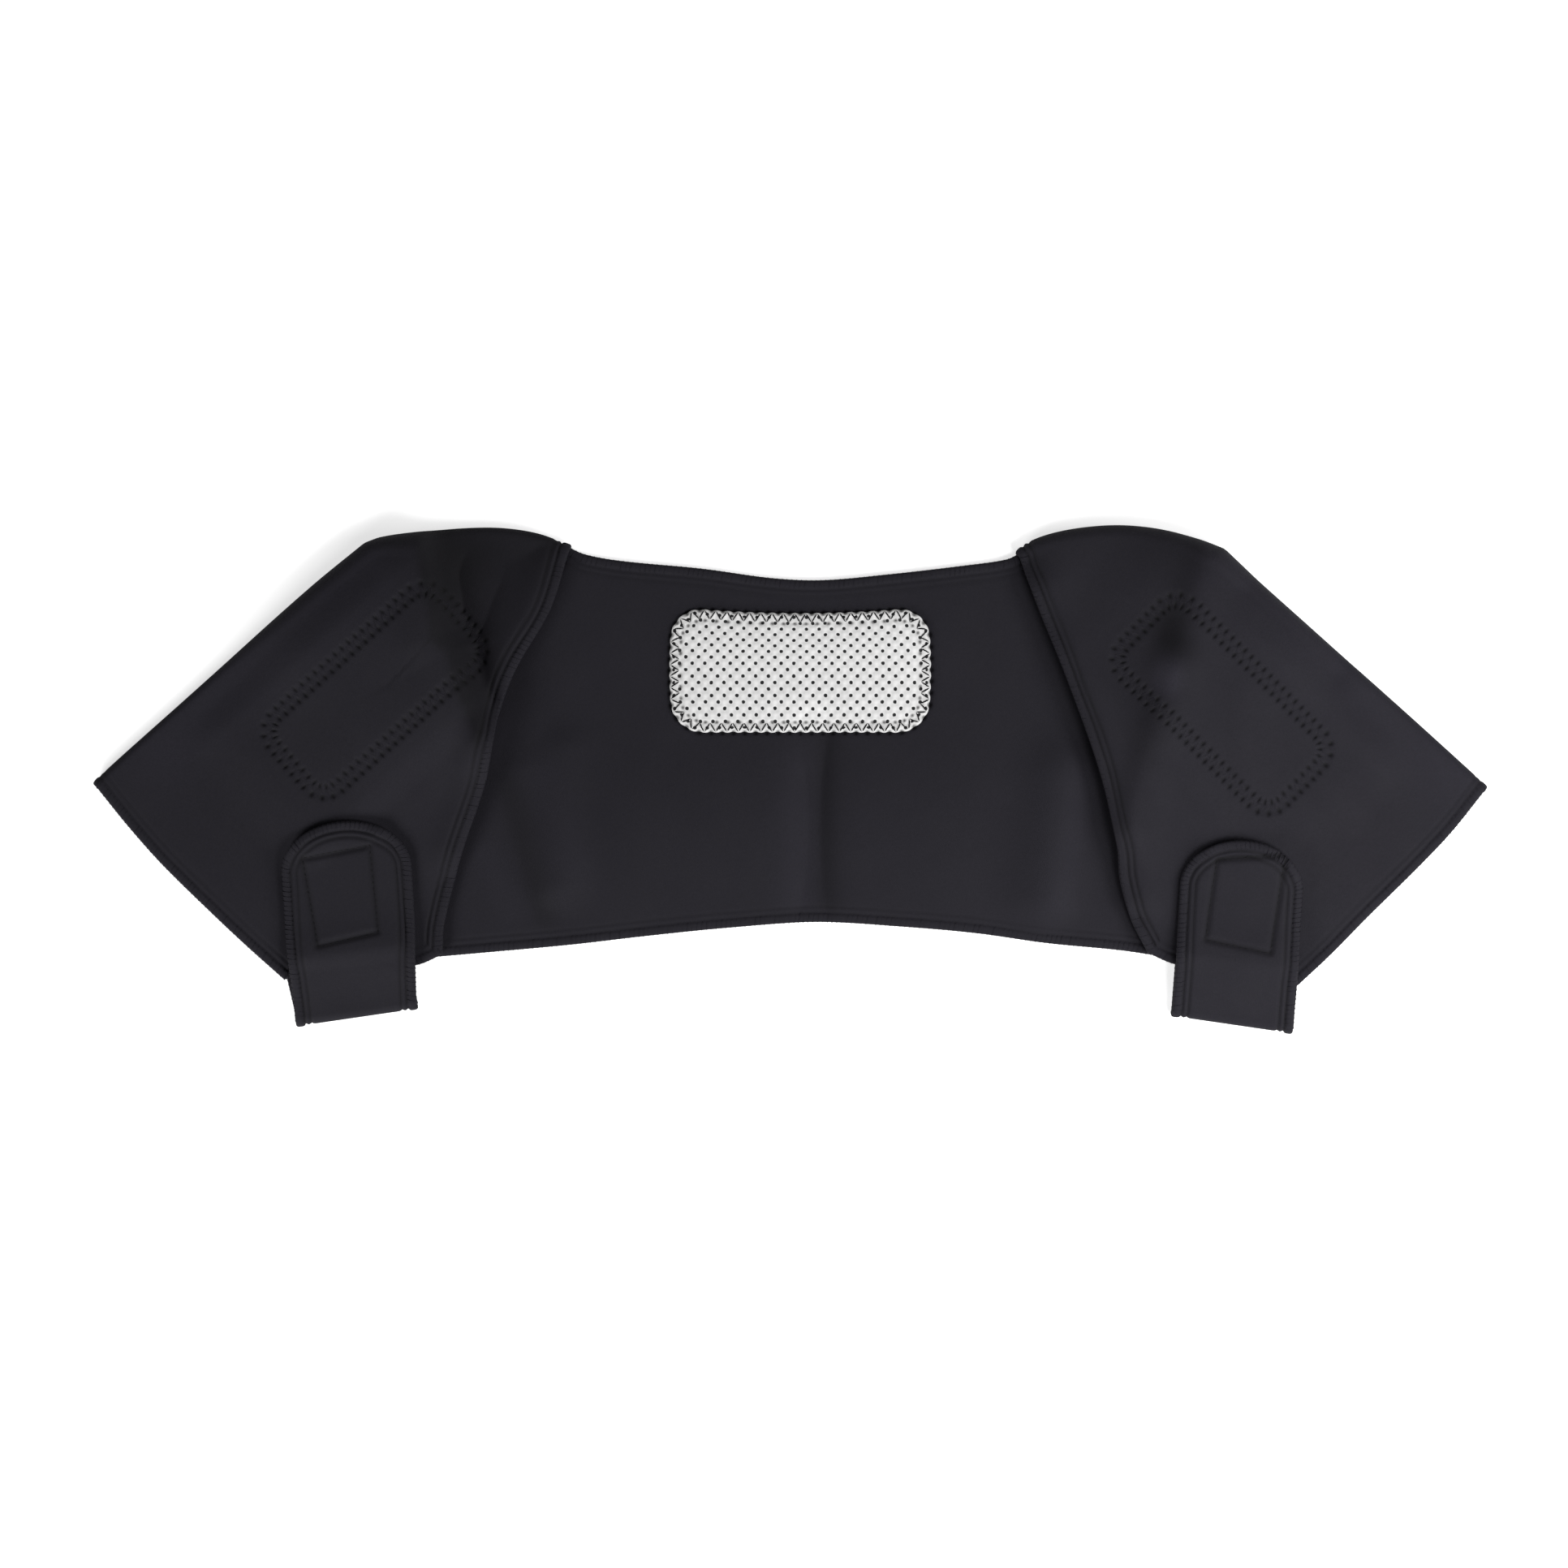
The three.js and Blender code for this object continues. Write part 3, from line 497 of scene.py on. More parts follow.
class Side:
    """One side's plan in millimetres, unmirrored, with the height of its front flap."""

    def __init__(self, name):
        self.rows = SIDES[name]
        self.sign = self.rows["sign"]
        for corner in ("neck", "corner", "tip", "heel", "foot", "seam_foot", "pad_centre"):
            setattr(self, corner, place(self.rows[corner]))
        self.cup = [
            (place(path), np.array(width) * SLEEVE_REACH, height * LOFT)
            for path, width, height in self.rows["lift"] + self.rows["creases"]
        ]
        self.free = leaning(self.rows["lean"])
        self.aside = np.array([self.free[1], -self.free[0]])
        self.root = leaning(self.rows["root_lean"])
        self.fold = turned(np.array([1.0, 0.0]), self.rows["fold_turn"])
        self.inward = np.array([-self.fold[1], self.fold[0]])
        self.strap_middle = place(self.rows["strap_fold"])
        patch_out = self.rows["patch_across"] * STRAP_WIDTH / 2
        patch_up = self.rows["patch_along"] * self.rows["lap"]
        self.patch_centre = self.strap_middle + self.free * patch_up + self.aside * patch_out

    def in_pad_frame(self, points):
        return turned(points - self.pad_centre, -self.rows["pad_turn"])

    def from_pad_frame(self, points):
        return turned(points, self.rows["pad_turn"]) + self.pad_centre

    def lift(self, points):
        """Height of the front flap's middle over the middle of the half under it."""
        local = np.abs(self.in_pad_frame(points)) / (SHOULDER_PAD_LENGTH / 2, SHOULDER_PAD_WIDTH / 2)
        over_pad = risen(PAD_RISE, local[..., 0], local[..., 1])
        least = NEOPRENE + LAYER_GAP
        under_pad = PAD_THICKNESS + 2 * CLEARANCE
        return least + np.maximum(ridges(self.cup, points), 0) + under_pad * over_pad

    def steepness(self, points):
        """How much further a parallel surface lies straight up where the flap slopes."""
        here = self.lift(points)
        dx = self.lift(points + (1, 0)) - here
        dy = self.lift(points + (0, 1)) - here
        return np.sqrt(1 + dx * dx + dy * dy)

    def outline(self, shares):
        before = shares <= SHOULDER_SHARE
        shoulder_shares = shares[before] / SHOULDER_SHARE
        shoulder = bowed(self.neck, self.corner, self.rows["shoulder_fold"], shoulder_shares)
        sleeve_shares = (shares[~before] - SHOULDER_SHARE) / (1 - SHOULDER_SHARE)
        sleeve = bowed(self.corner, self.tip, self.rows["sleeve_fold"], sleeve_shares)
        return np.concatenate([shoulder, sleeve])

    def fold_line(self, shares):
        """The fold's bend: where it starts, its outward direction and its radius."""
        point = self.outline(shares)
        after = self.outline(np.minimum(shares + BEND_WINDOW, 1))
        before = self.outline(np.maximum(shares - BEND_WINDOW, 0))
        along = unit(after - before)
        outward = np.stack([-along[:, 1], along[:, 0]], -1)
        inset = point
        for _ in range(4):
            radius = self.lift(inset) / 2
            inset = point - outward * (radius + NEOPRENE / 2)[:, None]
        return inset, outward, self.lift(inset) / 2

    def seam_edge(self, shares):
        """The back panel's side edge: the neck point, then the seam to the shoulder panel."""
        start = self.fold_line(np.array([0.0]))[0][0]
        at_neck = shares <= NECK_SHARE
        neck_part = mix(self.neck, start, (shares[at_neck] / NECK_SHARE)[:, None])
        seam_shares = (shares[~at_neck] - NECK_SHARE) / (1 - NECK_SHARE)
        seam_part = bowed(start, self.seam_foot, self.rows["seam"], seam_shares)
        tucked = (NECK_TUCK * ease(2 - shares / NECK_SHARE))[:, None] * (1, 0)
        edge = np.concatenate([neck_part, seam_part]) + tucked - (CLEARANCE / 2, 0)
        return edge * (self.sign, 1)

    def raise_up(self, points, heights):
        """Plan points of this side as points of the model, in millimetres."""
        flat = points * (self.sign, 1)
        return np.concatenate([flat, np.broadcast_to(heights, flat.shape[:-1])[..., None]], -1)

    def over_patch(self, points):
        local = np.abs(turned(points - self.patch_centre, -self.rows["patch_turn"]))
        local = local / (HOOK_PATCH_WIDTH / 2, HOOK_PATCH_LENGTH / 2)
        return risen(PATCH_RISE, local[..., 1], local[..., 0])

    def over_flap(self, points):
        """Height of the strap's middle over the middle of the back half."""
        raise_by = NEOPRENE + CLEARANCE + (HOOK_PATCH_THICKNESS + CLEARANCE) * self.over_patch(points)
        return self.lift(points) + raise_by * self.steepness(points)

    def strap_height(self, points, along):
        """Height of the strap's middle: it humps where it leaves the hem and sinks towards its fold."""
        sunk = 1 - STRAP_SINK * (1 - ease(along / STRAP_SLOPE))
        hump = STRAP_HUMP * np.exp(-((along - STRAP_SLOPE) / STRAP_HUMP_WIDTH) ** 2)
        return self.over_flap(points) * sunk + hump

    def on_flap(self, points, over):
        """Points lying that far over the middle surface of the front flap."""
        return self.raise_up(points, NEOPRENE / 2 + self.lift(points) + over * self.steepness(points))


# Grids of points round a middle surface, as arrays of shape (rows, columns, 3), in millimetres

def neighbours(grid, axis):
    size = grid.shape[axis]
    after = np.take(grid, np.minimum(np.arange(size) + 1, size - 1), axis)
    before = np.take(grid, np.maximum(np.arange(size) - 1, 0), axis)
    return after - before


def unit_normals(grid):
    return unit(np.cross(neighbours(grid, 1), neighbours(grid, 0)))


def distance_to_edge(grid, edge, picked=None, reach=16):
    """The distance of each grid point to one edge of the grid, or to the picked stretch of it."""
    if edge in ("first row", "last row"):
        picked_grid = distance_to_edge(
            grid.swapaxes(0, 1), "first column" if edge == "first row" else "last column", picked, reach)
        return picked_grid.T
    line = grid[:, 0] if edge == "first column" else grid[:, -1]
    tangent = unit(neighbours(line, 0))
    rows = np.arange(len(line))
    picked = np.ones(len(line), bool) if picked is None else picked
    nearest = np.full(grid.shape[:2], np.inf)
    square = np.full(grid.shape[:2], np.inf)
    for shift in range(-reach, reach + 1):
        other = np.clip(rows + shift, 0, len(line) - 1)
        offset = grid - line[other][:, None]
        along = np.einsum("rcx,rx->rc", offset, tangent[other])
        whole = np.einsum("rcx,rcx->rc", offset, offset)
        closer = (whole < nearest) & picked[other][:, None]
        nearest = np.where(closer, whole, nearest)
        square = np.where(closer, np.maximum(whole - along ** 2, 0), square)
    return np.sqrt(square)


def grooves(distance, width):
    """1 in the two rows of needle holes that hold the loops of a serged edge, and 0 away from them."""
    return sum(np.exp(-((distance - width - past) / NEEDLE_GROOVE_WIDTH) ** 2) for past in NEEDLE_GROOVES)


def serged_half(distance, width, depth=1.0):
    """Half the wall's thickness at that distance from a serged edge: a bead, then the needle grooves."""
    inside = np.clip(1 - np.abs(2 * distance / width - 1) ** 3, 0, 1)
    bead = BEAD_HALF * inside ** (1 / 3)
    wall = NEOPRENE / 2 - depth * NEEDLE_GROOVE * grooves(distance, width)
    return np.where(distance < width / 2, np.maximum(bead, RIM_HALF), np.maximum(bead, wall))


def painted_shading_of(rows, points, serged, width, depth=1.0):
    """Painted light and shade in the jersey's colour: darker in hollows, creases and the needle grooves,
    lighter below 0.
    """
    shading_rows = [(path, np.array(reach) * SLEEVE_REACH, darker) for path, reach, darker in rows]
    shade_painted = ridges(shading_rows, points) * ease((serged - width) / width)
    return np.clip(1 - shade_painted - depth * GROOVE_SHADE * grooves(serged, width), *PAINTED_SHADING_RANGE)


def seam_loss(distance):
    return SEAM_DIP * np.exp(-(distance / SEAM_DIP_WIDTH) ** 2)


# Meshes

OFFSET = np.zeros(3)


def find_offset():
    """Where the plan's origin lies in the model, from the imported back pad."""
    low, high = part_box("back_heating_pad")
    pad_foot = BACK_HEIGHT - BACK_PAD_DROP - BACK_PAD_HEIGHT
    OFFSET[:] = ((low.x + high.x) / 2 - BACK_PAD_SHIFT * MM, low.y - pad_foot * MM, 0)


def to_model(points):
    return points * MM + OFFSET


def new_object(name, mesh):
    piece = bpy.data.objects.new(name, mesh)
    bpy.context.scene.collection.objects.link(piece)
    return piece


def mesh_from(name, points, faces):
    mesh = bpy.data.meshes.new(name)
    mesh.from_pydata(points.tolist(), [], faces.tolist())
    mesh.polygons.foreach_set("use_smooth", np.ones(len(faces), bool))
    mesh.update()
    return mesh


def signed_volume(points, quads):
    a, b, c, d = (points[quads[:, k]] for k in range(4))
    return np.einsum("nx,nx->", a, np.cross(b, c)) + np.einsum("nx,nx->", a, np.cross(c, d))


def cloth_wall(name, grid, half, material, layout, marks=None):
    """A closed wall of that half thickness round a grid, with its flat layout as UVs and its marks."""
    rows, columns = half.shape
    thickness = unit_normals(grid) * half[..., None]
    faces_of_cloth = np.stack([grid + thickness, grid - thickness])
    points = to_model(faces_of_cloth.reshape(-1, 3))
    k = np.arange(rows * columns).reshape(rows, columns)
    upper = np.stack([k[:-1, :-1], k[:-1, 1:], k[1:, 1:], k[1:, :-1]], -1).reshape(-1, 4)
    lower = upper[:, ::-1] + rows * columns
    rim = np.concatenate([k[0, :-1], k[:-1, -1], k[-1, :0:-1], k[:0:-1, 0]])
    onward = np.roll(rim, -1)
    side = np.stack([onward, rim, rim + rows * columns, onward + rows * columns], -1)
    faces = np.concatenate([upper, lower, side])
    if signed_volume(points, faces) < 0:
        faces = faces[:, ::-1]
    mesh = mesh_from(name, points, faces)
    flat = np.tile(layout.reshape(-1, 2) * MM, (2, 1))
    corner_points = np.empty(len(mesh.loops), np.int32)
    mesh.loops.foreach_get("vertex_index", corner_points)
    mesh.uv_layers.new(name="layout").data.foreach_set("uv", flat[corner_points].ravel())
    for mark, values in (marks or {}).items():
        attribute = mesh.attributes.new(mark, "FLOAT", "POINT")
        attribute.data.foreach_set("value", np.tile(values.ravel(), 2).astype(np.float32))
    mesh.materials.append(material)
    return new_object(name, mesh)


def layout_of(grid):
    """The flat layout of a grid: how far each point lies along its row and its column."""
    across = np.cumsum(np.pad(length_of(np.diff(grid, axis=1)), ((0, 0), (1, 0))), axis=1)
    down = np.cumsum(np.pad(length_of(np.diff(grid, axis=0)), ((1, 0), (0, 0))), axis=0)
    return np.stack([across, -down], -1)


def cloth_area(grid):
    """Area of the middle surface in square metres."""
    diagonals = np.cross(grid[1:, 1:] - grid[:-1, :-1], grid[1:, :-1] - grid[:-1, 1:])
    return float(length_of(diagonals).sum() / 2 * MM * MM)


def ring_path(half_along, half_across, corner, steps=720):
    """A rounded rectangle as a closed line, from the middle of one long side, anticlockwise."""
    quarter = np.linspace(0, math.pi / 2, 25)
    corners = []
    for turn, (x, y) in enumerate([(1, 1), (-1, 1), (-1, -1), (1, -1)]):
        middle = np.array([x * (half_along - corner), y * (half_across - corner)])
        angle = quarter + turn * math.pi / 2
        corners.append(middle + corner * np.stack([np.cos(angle), np.sin(angle)], -1))
    start = np.array([[0, -half_across]])
    line = np.concatenate([start, corners[3], corners[0], corners[1], corners[2], start])
    reached = np.concatenate([[0], np.cumsum(length_of(np.diff(line, axis=0)))])
    places = np.linspace(0, reached[-1], steps + 1)
    return np.stack([np.interp(places, reached, line[:, k]) for k in range(2)], -1)


def ring_outward(ring):
    along = unit(np.roll(ring[:-1], -1, 0) - np.roll(ring[:-1], 1, 0))
    outward = np.stack([along[:, 1], -along[:, 0]], -1)
    return np.concatenate([outward, outward[:1]])


def ring_marks(points, ring):
    """Where each point lies along a ring of stitches, as a sine and a cosine, and how far outside it.

    The outward direction at the nearest place of the ring comes second."""
    flat = points.reshape(-1, 2)
    aside = np.full(len(flat), FAR_ASIDE)
    share = np.zeros(len(flat))
    facing = np.zeros(flat.shape)
    low, high = ring.min(0) - RING_MARGIN, ring.max(0) + RING_MARGIN
    close = ((flat > low) & (flat < high)).all(1).nonzero()[0]
    along = unit(np.roll(ring[:-1], -1, 0) - np.roll(ring[:-1], 1, 0))
    outward = ring_outward(ring)[:-1]
    round_length = length_of(np.diff(ring, axis=0)).sum()
    for part in np.array_split(close, max(1, len(close) // 2000)):
        offset = flat[part][:, None] - ring[None, :-1]
        nearest = np.einsum("nkx,nkx->nk", offset, offset).argmin(1)
        step = offset[np.arange(len(part)), nearest]
        aside[part] = (step * outward[nearest]).sum(1)
        facing[part] = outward[nearest]
        share[part] = nearest / (len(ring) - 1) + (step * along[nearest]).sum(1) / round_length
    angle = (share * 2 * math.pi).reshape(points.shape[:-1])
    marks = no_ring(angle.shape)
    marks.update(
        ring_sine=np.sin(angle), ring_cosine=np.cos(angle), ring_aside=aside.reshape(angle.shape))
    return marks, facing.reshape(points.shape)


def no_ring(shape):
    """The marks of cloth that lies far from any ring of stitches."""
    return {
        "ring_sine": np.zeros(shape), "ring_cosine": np.ones(shape),
        "ring_aside": np.full(shape, FAR_ASIDE),
    }


def channel_loss(aside):
    return CHANNEL_DEPTH * np.exp(-(aside / CHANNEL_WIDTH) ** 4)


# Node trees

class Term:
    """A value in a node tree, so that a formula made of nodes reads as a formula."""

    def __init__(self, tree, socket):
        self.tree = tree
        self.socket = socket

    def __add__(self, other):
        return maths(self.tree, "ADD", self, other)

    def __sub__(self, other):
        return maths(self.tree, "SUBTRACT", self, other)

    def __rsub__(self, other):
        return maths(self.tree, "SUBTRACT", other, self)

    def __mul__(self, other):
        return maths(self.tree, "MULTIPLY", self, other)

    def __truediv__(self, other):
        return maths(self.tree, "DIVIDE", self, other)

    def __pow__(self, other):
        return maths(self.tree, "POWER", self, other)

    __radd__, __rmul__ = __add__, __mul__


def feed(tree, socket, value):
    """Links a term or a socket to an input, or sets the input to a plain value."""
    value = value.socket if isinstance(value, Term) else value
    if isinstance(value, bpy.types.NodeSocket):
        tree.links.new(value, socket)
    else:
        socket.default_value = value


def put(tree, kind, inputs=(), **options):
    """A node with its options set and its inputs fed."""
    node = tree.nodes.new(kind)
    for name, value in options.items():
        setattr(node, name, value)
    for socket, value in dict(inputs).items():
        feed(tree, node.inputs[socket], value)
    return node


def maths(tree, operation, *values):
    return Term(tree, put(tree, "ShaderNodeMath", enumerate(values), operation=operation).outputs[0])


def parts_of(tree, vector):
    """A vector's three numbers."""
    return [Term(tree, output) for output in put(tree, "ShaderNodeSeparateXYZ", {0: vector}).outputs]


def new_tree(name, kind, inputs, outputs):
    """A node group with named sockets, as (name, type, default) rows, what it is given, and its end."""
    tree = bpy.data.node_groups.new(name, kind)
    for label, value_type, default in inputs:
        socket = tree.interface.new_socket(label, in_out="INPUT", socket_type=f"NodeSocket{value_type}")
        if default is not None:
            socket.default_value = default
    for label, value_type in outputs:
        tree.interface.new_socket(label, in_out="OUTPUT", socket_type=f"NodeSocket{value_type}")
    given = {output.name: Term(tree, output) for output in put(tree, "NodeGroupInput").outputs}
    return tree, given, put(tree, "NodeGroupOutput").inputs


def shared_tree(name, build):
    return bpy.data.node_groups.get(name) or build()


# Threads, grown along paths

def named(tree, name, kind="FLOAT_VECTOR"):
    """What the path's points are marked with under that name."""
    node = put(tree, "GeometryNodeInputNamedAttribute", {"Name": name}, data_type=kind)
    return Term(tree, node.outputs["Attribute"])


def moved(tree, geometry, **where):
    """The geometry with its points put in their position or shifted by an offset."""
    inputs = {label.title(): value for label, value in where.items()}
    return put(tree, "GeometryNodeSetPosition", {"Geometry": geometry, **inputs}).outputs[0]


def scaled(tree, vector, factor):
    return put(tree, "ShaderNodeVectorMath", {0: vector, "Scale": factor}, operation="SCALE").outputs[0]


def swept_thread(tree, curve, radius, sides):
    circle = put(tree, "GeometryNodeCurvePrimitiveCircle", {"Resolution": sides, "Radius": radius})
    inputs = {"Curve": curve, "Profile Curve": circle.outputs[0], "Fill Caps": True}
    return put(tree, "GeometryNodeCurveToMesh", inputs).outputs[0]


def finish_threads(tree, threads, material, end):
    """Ends a tree of threads: instances realized, shaded smooth, and given their material."""
    real = put(tree, "GeometryNodeRealizeInstances", {"Geometry": threads}).outputs[0]
    shaded = put(tree, "GeometryNodeSetShadeSmooth", {"Geometry": real}).outputs[0]
    painted = put(tree, "GeometryNodeSetMaterial", {"Geometry": shaded, "Material": material})
    feed(tree, end[0], painted.outputs[0])


def overlock_tree():
    """Loops of thread that wrap a serged edge, set along it at an even pitch."""
    tree, given, end = new_tree(
        "overlock_loops", "GeometryNodeTree",
        [
            ("Geometry", "Geometry", None), ("Pitch", "Float", 2.5 * MM),
            ("Reach", "Float", PANEL_BEAD * MM), ("Half Height", "Float", BEAD_HALF * MM),
            ("Slant", "Float", LOOP_SLANT * MM),
            ("Thread Radius", "Float", 0.3 * MM), ("Seed", "Int", 4), ("Material", "Material", None),
        ],
        [("Geometry", "Geometry")])
    edge = put(tree, "GeometryNodeMeshToCurve", {"Mesh": given["Geometry"]}).outputs[0]
    inputs = {"Curve": edge, "Length": given["Pitch"]}
    points = put(tree, "GeometryNodeResampleCurve", inputs, mode="LENGTH").outputs[0]
    circle = put(tree, "GeometryNodeCurvePrimitiveCircle", {"Resolution": LOOP_STEPS, "Radius": 1.0})
    x, y, _ = parts_of(tree, put(tree, "GeometryNodeInputPosition").outputs[0])

    def boxy(value):
        return maths(tree, "SIGN", value) * maths(tree, "ABSOLUTE", value) ** LOOP_SQUARENESS

    inward = (1.0 - boxy(x)) * (given["Reach"] * 0.5)
    bent = {0: x * given["Slant"], 1: inward, 2: boxy(y) * given["Half Height"]}
    loop = moved(tree, circle.outputs[0], position=put(tree, "ShaderNodeCombineXYZ", bent).outputs[0])
    facing = put(
        tree, "FunctionNodeAxesToRotation", {0: named(tree, "lie"), 1: named(tree, "inward")},
        primary_axis="Z", secondary_axis="Y")
    least, most = LOOP_SCALES
    inputs = {"Min": least, "Max": most, "Seed": given["Seed"]}
    uneven = put(tree, "FunctionNodeRandomValue", inputs, data_type="FLOAT_VECTOR")
    loops = put(tree, "GeometryNodeInstanceOnPoints", {
        "Points": points, "Instance": swept_thread(tree, loop, given["Thread Radius"], LOOP_SIDES),
        "Rotation": facing.outputs[0], "Scale": uneven.outputs[0],
    })
    finish_threads(tree, loops.outputs[0], given["Material"], end)
    return tree


def stitch_tree():
    """A thread that runs along a path, zigzags across it and dips at each needle hole."""
    tree, given, end = new_tree(
        "stitch_line", "GeometryNodeTree",
        [
            ("Geometry", "Geometry", None), ("Cloth", "Object", None), ("Snap", "Bool", True),
            ("Stitches", "Int", 60), ("Width", "Float", 0.0), ("Dip", "Float", 0.4 * MM),
            ("Stand", "Float", 0.1 * MM), ("Thread Radius", "Float", 0.3 * MM),
            ("Material", "Material", None),
        ],
        [("Geometry", "Geometry")])
    path = put(tree, "GeometryNodeMeshToCurve", {"Mesh": given["Geometry"]}).outputs[0]
    inputs = {"Curve": path, "Count": given["Stitches"] * STITCH_STEPS + 1.0}
    line = put(tree, "GeometryNodeResampleCurve", inputs, mode="COUNT").outputs[0]
    swing = maths(tree, "PINGPONG", named(tree, "beat", "FLOAT") * 2.0, 1.0) * 2.0 - 1.0
    sideways = swing * (given["Width"] * 0.5)
    zigzag = moved(tree, line, offset=scaled(tree, named(tree, "aside"), sideways))
    cloth = put(tree, "GeometryNodeObjectInfo", {"Object": given["Cloth"]}).outputs["Geometry"]
    near = put(tree, "GeometryNodeProximity", {0: cloth}, target_element="FACES").outputs["Position"]
    laid = moved(tree, zigzag, selection=given["Snap"], position=near)
    needle = maths(tree, "ABSOLUTE", swing) ** NEEDLE_SHARPNESS
    sunk = scaled(tree, named(tree, "lie"), given["Stand"] - needle * given["Dip"])
    sewn = moved(tree, laid, offset=sunk)
    threads = swept_thread(tree, sewn, given["Thread Radius"], STITCH_SIDES)
    finish_threads(tree, threads, given["Material"], end)
    return tree


def thread_path(name, points, **marks):
    """An open line of points in metres, with a value or a direction at each of them."""
    mesh = bpy.data.meshes.new(name)
    mesh.from_pydata(points.tolist(), [(k, k + 1) for k in range(len(points) - 1)], [])
    for mark, values in marks.items():
        vectors = values.ndim == 2
        attribute = mesh.attributes.new(mark, "FLOAT_VECTOR" if vectors else "FLOAT", "POINT")
        attribute.data.foreach_set("vector" if vectors else "value", values.ravel().astype(np.float32))
    return new_object(name, mesh)


def grow(path, tree, **values):
    """Runs a tree on a path and leaves the plain mesh that it makes."""
    modifier = path.modifiers.new("grow", "NODES")
    modifier.node_group = tree
    for item in tree.interface.items_tree:
        key = item.name.lower().replace(" ", "_")
        if item.in_out == "INPUT" and key in values:
            modifier[item.identifier] = values[key]
    path.update_tag()
    grown = path.evaluated_get(bpy.context.evaluated_depsgraph_get())
    mesh = bpy.data.meshes.new_from_object(grown)
    path.modifiers.remove(modifier)
    while mesh.materials and mesh.materials[0] is None:
        mesh.materials.pop(index=0)
    mesh.name = path.name
    path.data = mesh
    return path


# Materials

def marked(tree, name):
    """What the mesh's points are marked with under that name."""
    node = put(tree, "ShaderNodeAttribute", attribute_type="GEOMETRY", attribute_name=name)
    return Term(tree, node.outputs["Fac"])


def noise(tree, vector, scale, detail):
    node = put(tree, "ShaderNodeTexNoise", {"Vector": vector, "Scale": scale, "Detail": detail})
    return Term(tree, node.outputs["Fac"])


def mottle_group():
    """Cloudy unevenness round 1."""
    tree, given, end = new_tree(
        "mottle", "ShaderNodeTree",
        [("Vector", "Vector", None), ("Scale", "Float", 9.0), ("Amount", "Float", 0.1)],
        [("Value", "Float")])
    cloud = (noise(tree, given["Vector"], given["Scale"], 4.0) - 0.5) * 4.0
    feed(tree, end["Value"], 1.0 + cloud * given["Amount"])
    return tree


def knit_group():
    """The face of a jersey: columns of slanting loops, a little uneven."""
    tree, given, end = new_tree(
        "knit", "ShaderNodeTree", [("Vector", "Vector", None), ("Pitch", "Float", 0.9 * MM)],
        [("Height", "Float")])
    wander = (noise(tree, given["Vector"], 260.0, 2.0) - 0.5) * 1.6
    x, y, _ = parts_of(tree, given["Vector"])
    wale = x / given["Pitch"] + wander
    course = y / (given["Pitch"] * 0.7)
    lean = maths(tree, "PINGPONG", course, 0.5) * 0.9
    ridge = maths(tree, "PINGPONG", wale + lean, 0.5)
    rows = maths(tree, "PINGPONG", course + wander, 0.5)
    feed(tree, end["Height"], ridge * 1.4 + rows * 0.6)
    return tree


def needle_group():
    """Dents where a zigzag's needle went in, in two rows beside a marked ring."""
    tree, given, end = new_tree(
        "needle_dents", "ShaderNodeTree",
        [("Stitches", "Float", 60.0), ("Width", "Float", ZIGZAG_WIDTH), ("Dent", "Float", 1.0)],
        [("Dents", "Float")])
    turn = maths(tree, "ARCTAN2", marked(tree, "ring_sine"), marked(tree, "ring_cosine"))
    beat = maths(tree, "COSINE", turn * given["Stitches"])
    aside = marked(tree, "ring_aside")
    half = given["Width"] * 0.5

    def row(side):
        off_row = (aside - half * side) / given["Dent"]
        off_beat = (1.0 - beat * side) * 1.5
        return maths(tree, "EXPONENT", (off_row * off_row + off_beat) * -1.0)

    feed(tree, end["Dents"], row(1.0) + row(-1.0))
    return tree


def dots_group():
    """A staggered grid of dots on a tufted cloth."""
    tree, given, end = new_tree(
        "dots", "ShaderNodeTree",
        [("Vector", "Vector", None), ("Across", "Float", 6.56 * MM), ("Up", "Float", 6.7 * MM)],
        [("Dots", "Float"), ("Tufts", "Float"), ("Lattice", "Float")])
    rough = (noise(tree, given["Vector"], 700.0, 1.0) - 0.5) * 0.3
    x, y, _ = parts_of(tree, given["Vector"])
    x = x * (2 * math.pi) / given["Across"]
    y = y * (2 * math.pi) / given["Up"]

    def cosine(angle):
        return maths(tree, "COSINE", angle)

    wave = cosine(x) * cosine(y)
    fine = cosine(x * 2.0) + cosine(y * 2.0)
    clear, full = DOT_EDGE
    inputs = {"Value": wave + rough, "From Min": clear, "From Max": full}
    dots = put(tree, "ShaderNodeMapRange", inputs, interpolation_type="SMOOTHSTEP")
    feed(tree, end["Dots"], dots.outputs[0])
    feed(tree, end["Tufts"], (1.0 - wave) * 0.5)
    feed(tree, end["Lattice"], (2.0 - fine) * 0.25)
    return tree


def group(tree, name, build, **inputs):
    """Places a node group, which is built once, and returns what it puts out."""
    node = put(tree, "ShaderNodeGroup", node_tree=shared_tree(name, build))
    for label, value in inputs.items():
        feed(tree, node.inputs[label.replace("_", " ").title()], value)
    return {output.name: Term(tree, output) for output in node.outputs}


def mottled(tree, vector, scale, amount):
    return group(tree, "mottle", mottle_group, vector=vector, scale=scale, amount=amount)["Value"]


def needled(tree, stitches, dent):
    """Dents of a ring with that many stitches; dent is their half width in millimetres."""
    return group(tree, "needle_dents", needle_group, stitches=float(stitches), dent=dent)["Dents"]


def new_finish(name, **constants):
    """A material, its tree and its shader, with the shader's plain numbers set on its own sockets."""
    material = bpy.data.materials.new(name)
    material.use_nodes = True
    shader = material.node_tree.nodes["Principled BSDF"]
    for label, value in constants.items():
        shader.inputs[label.replace("_", " ").title().replace("Ior", "IOR")].default_value = value
    space = put(material.node_tree, "ShaderNodeTexCoord").outputs
    return material, material.node_tree, shader.inputs, space


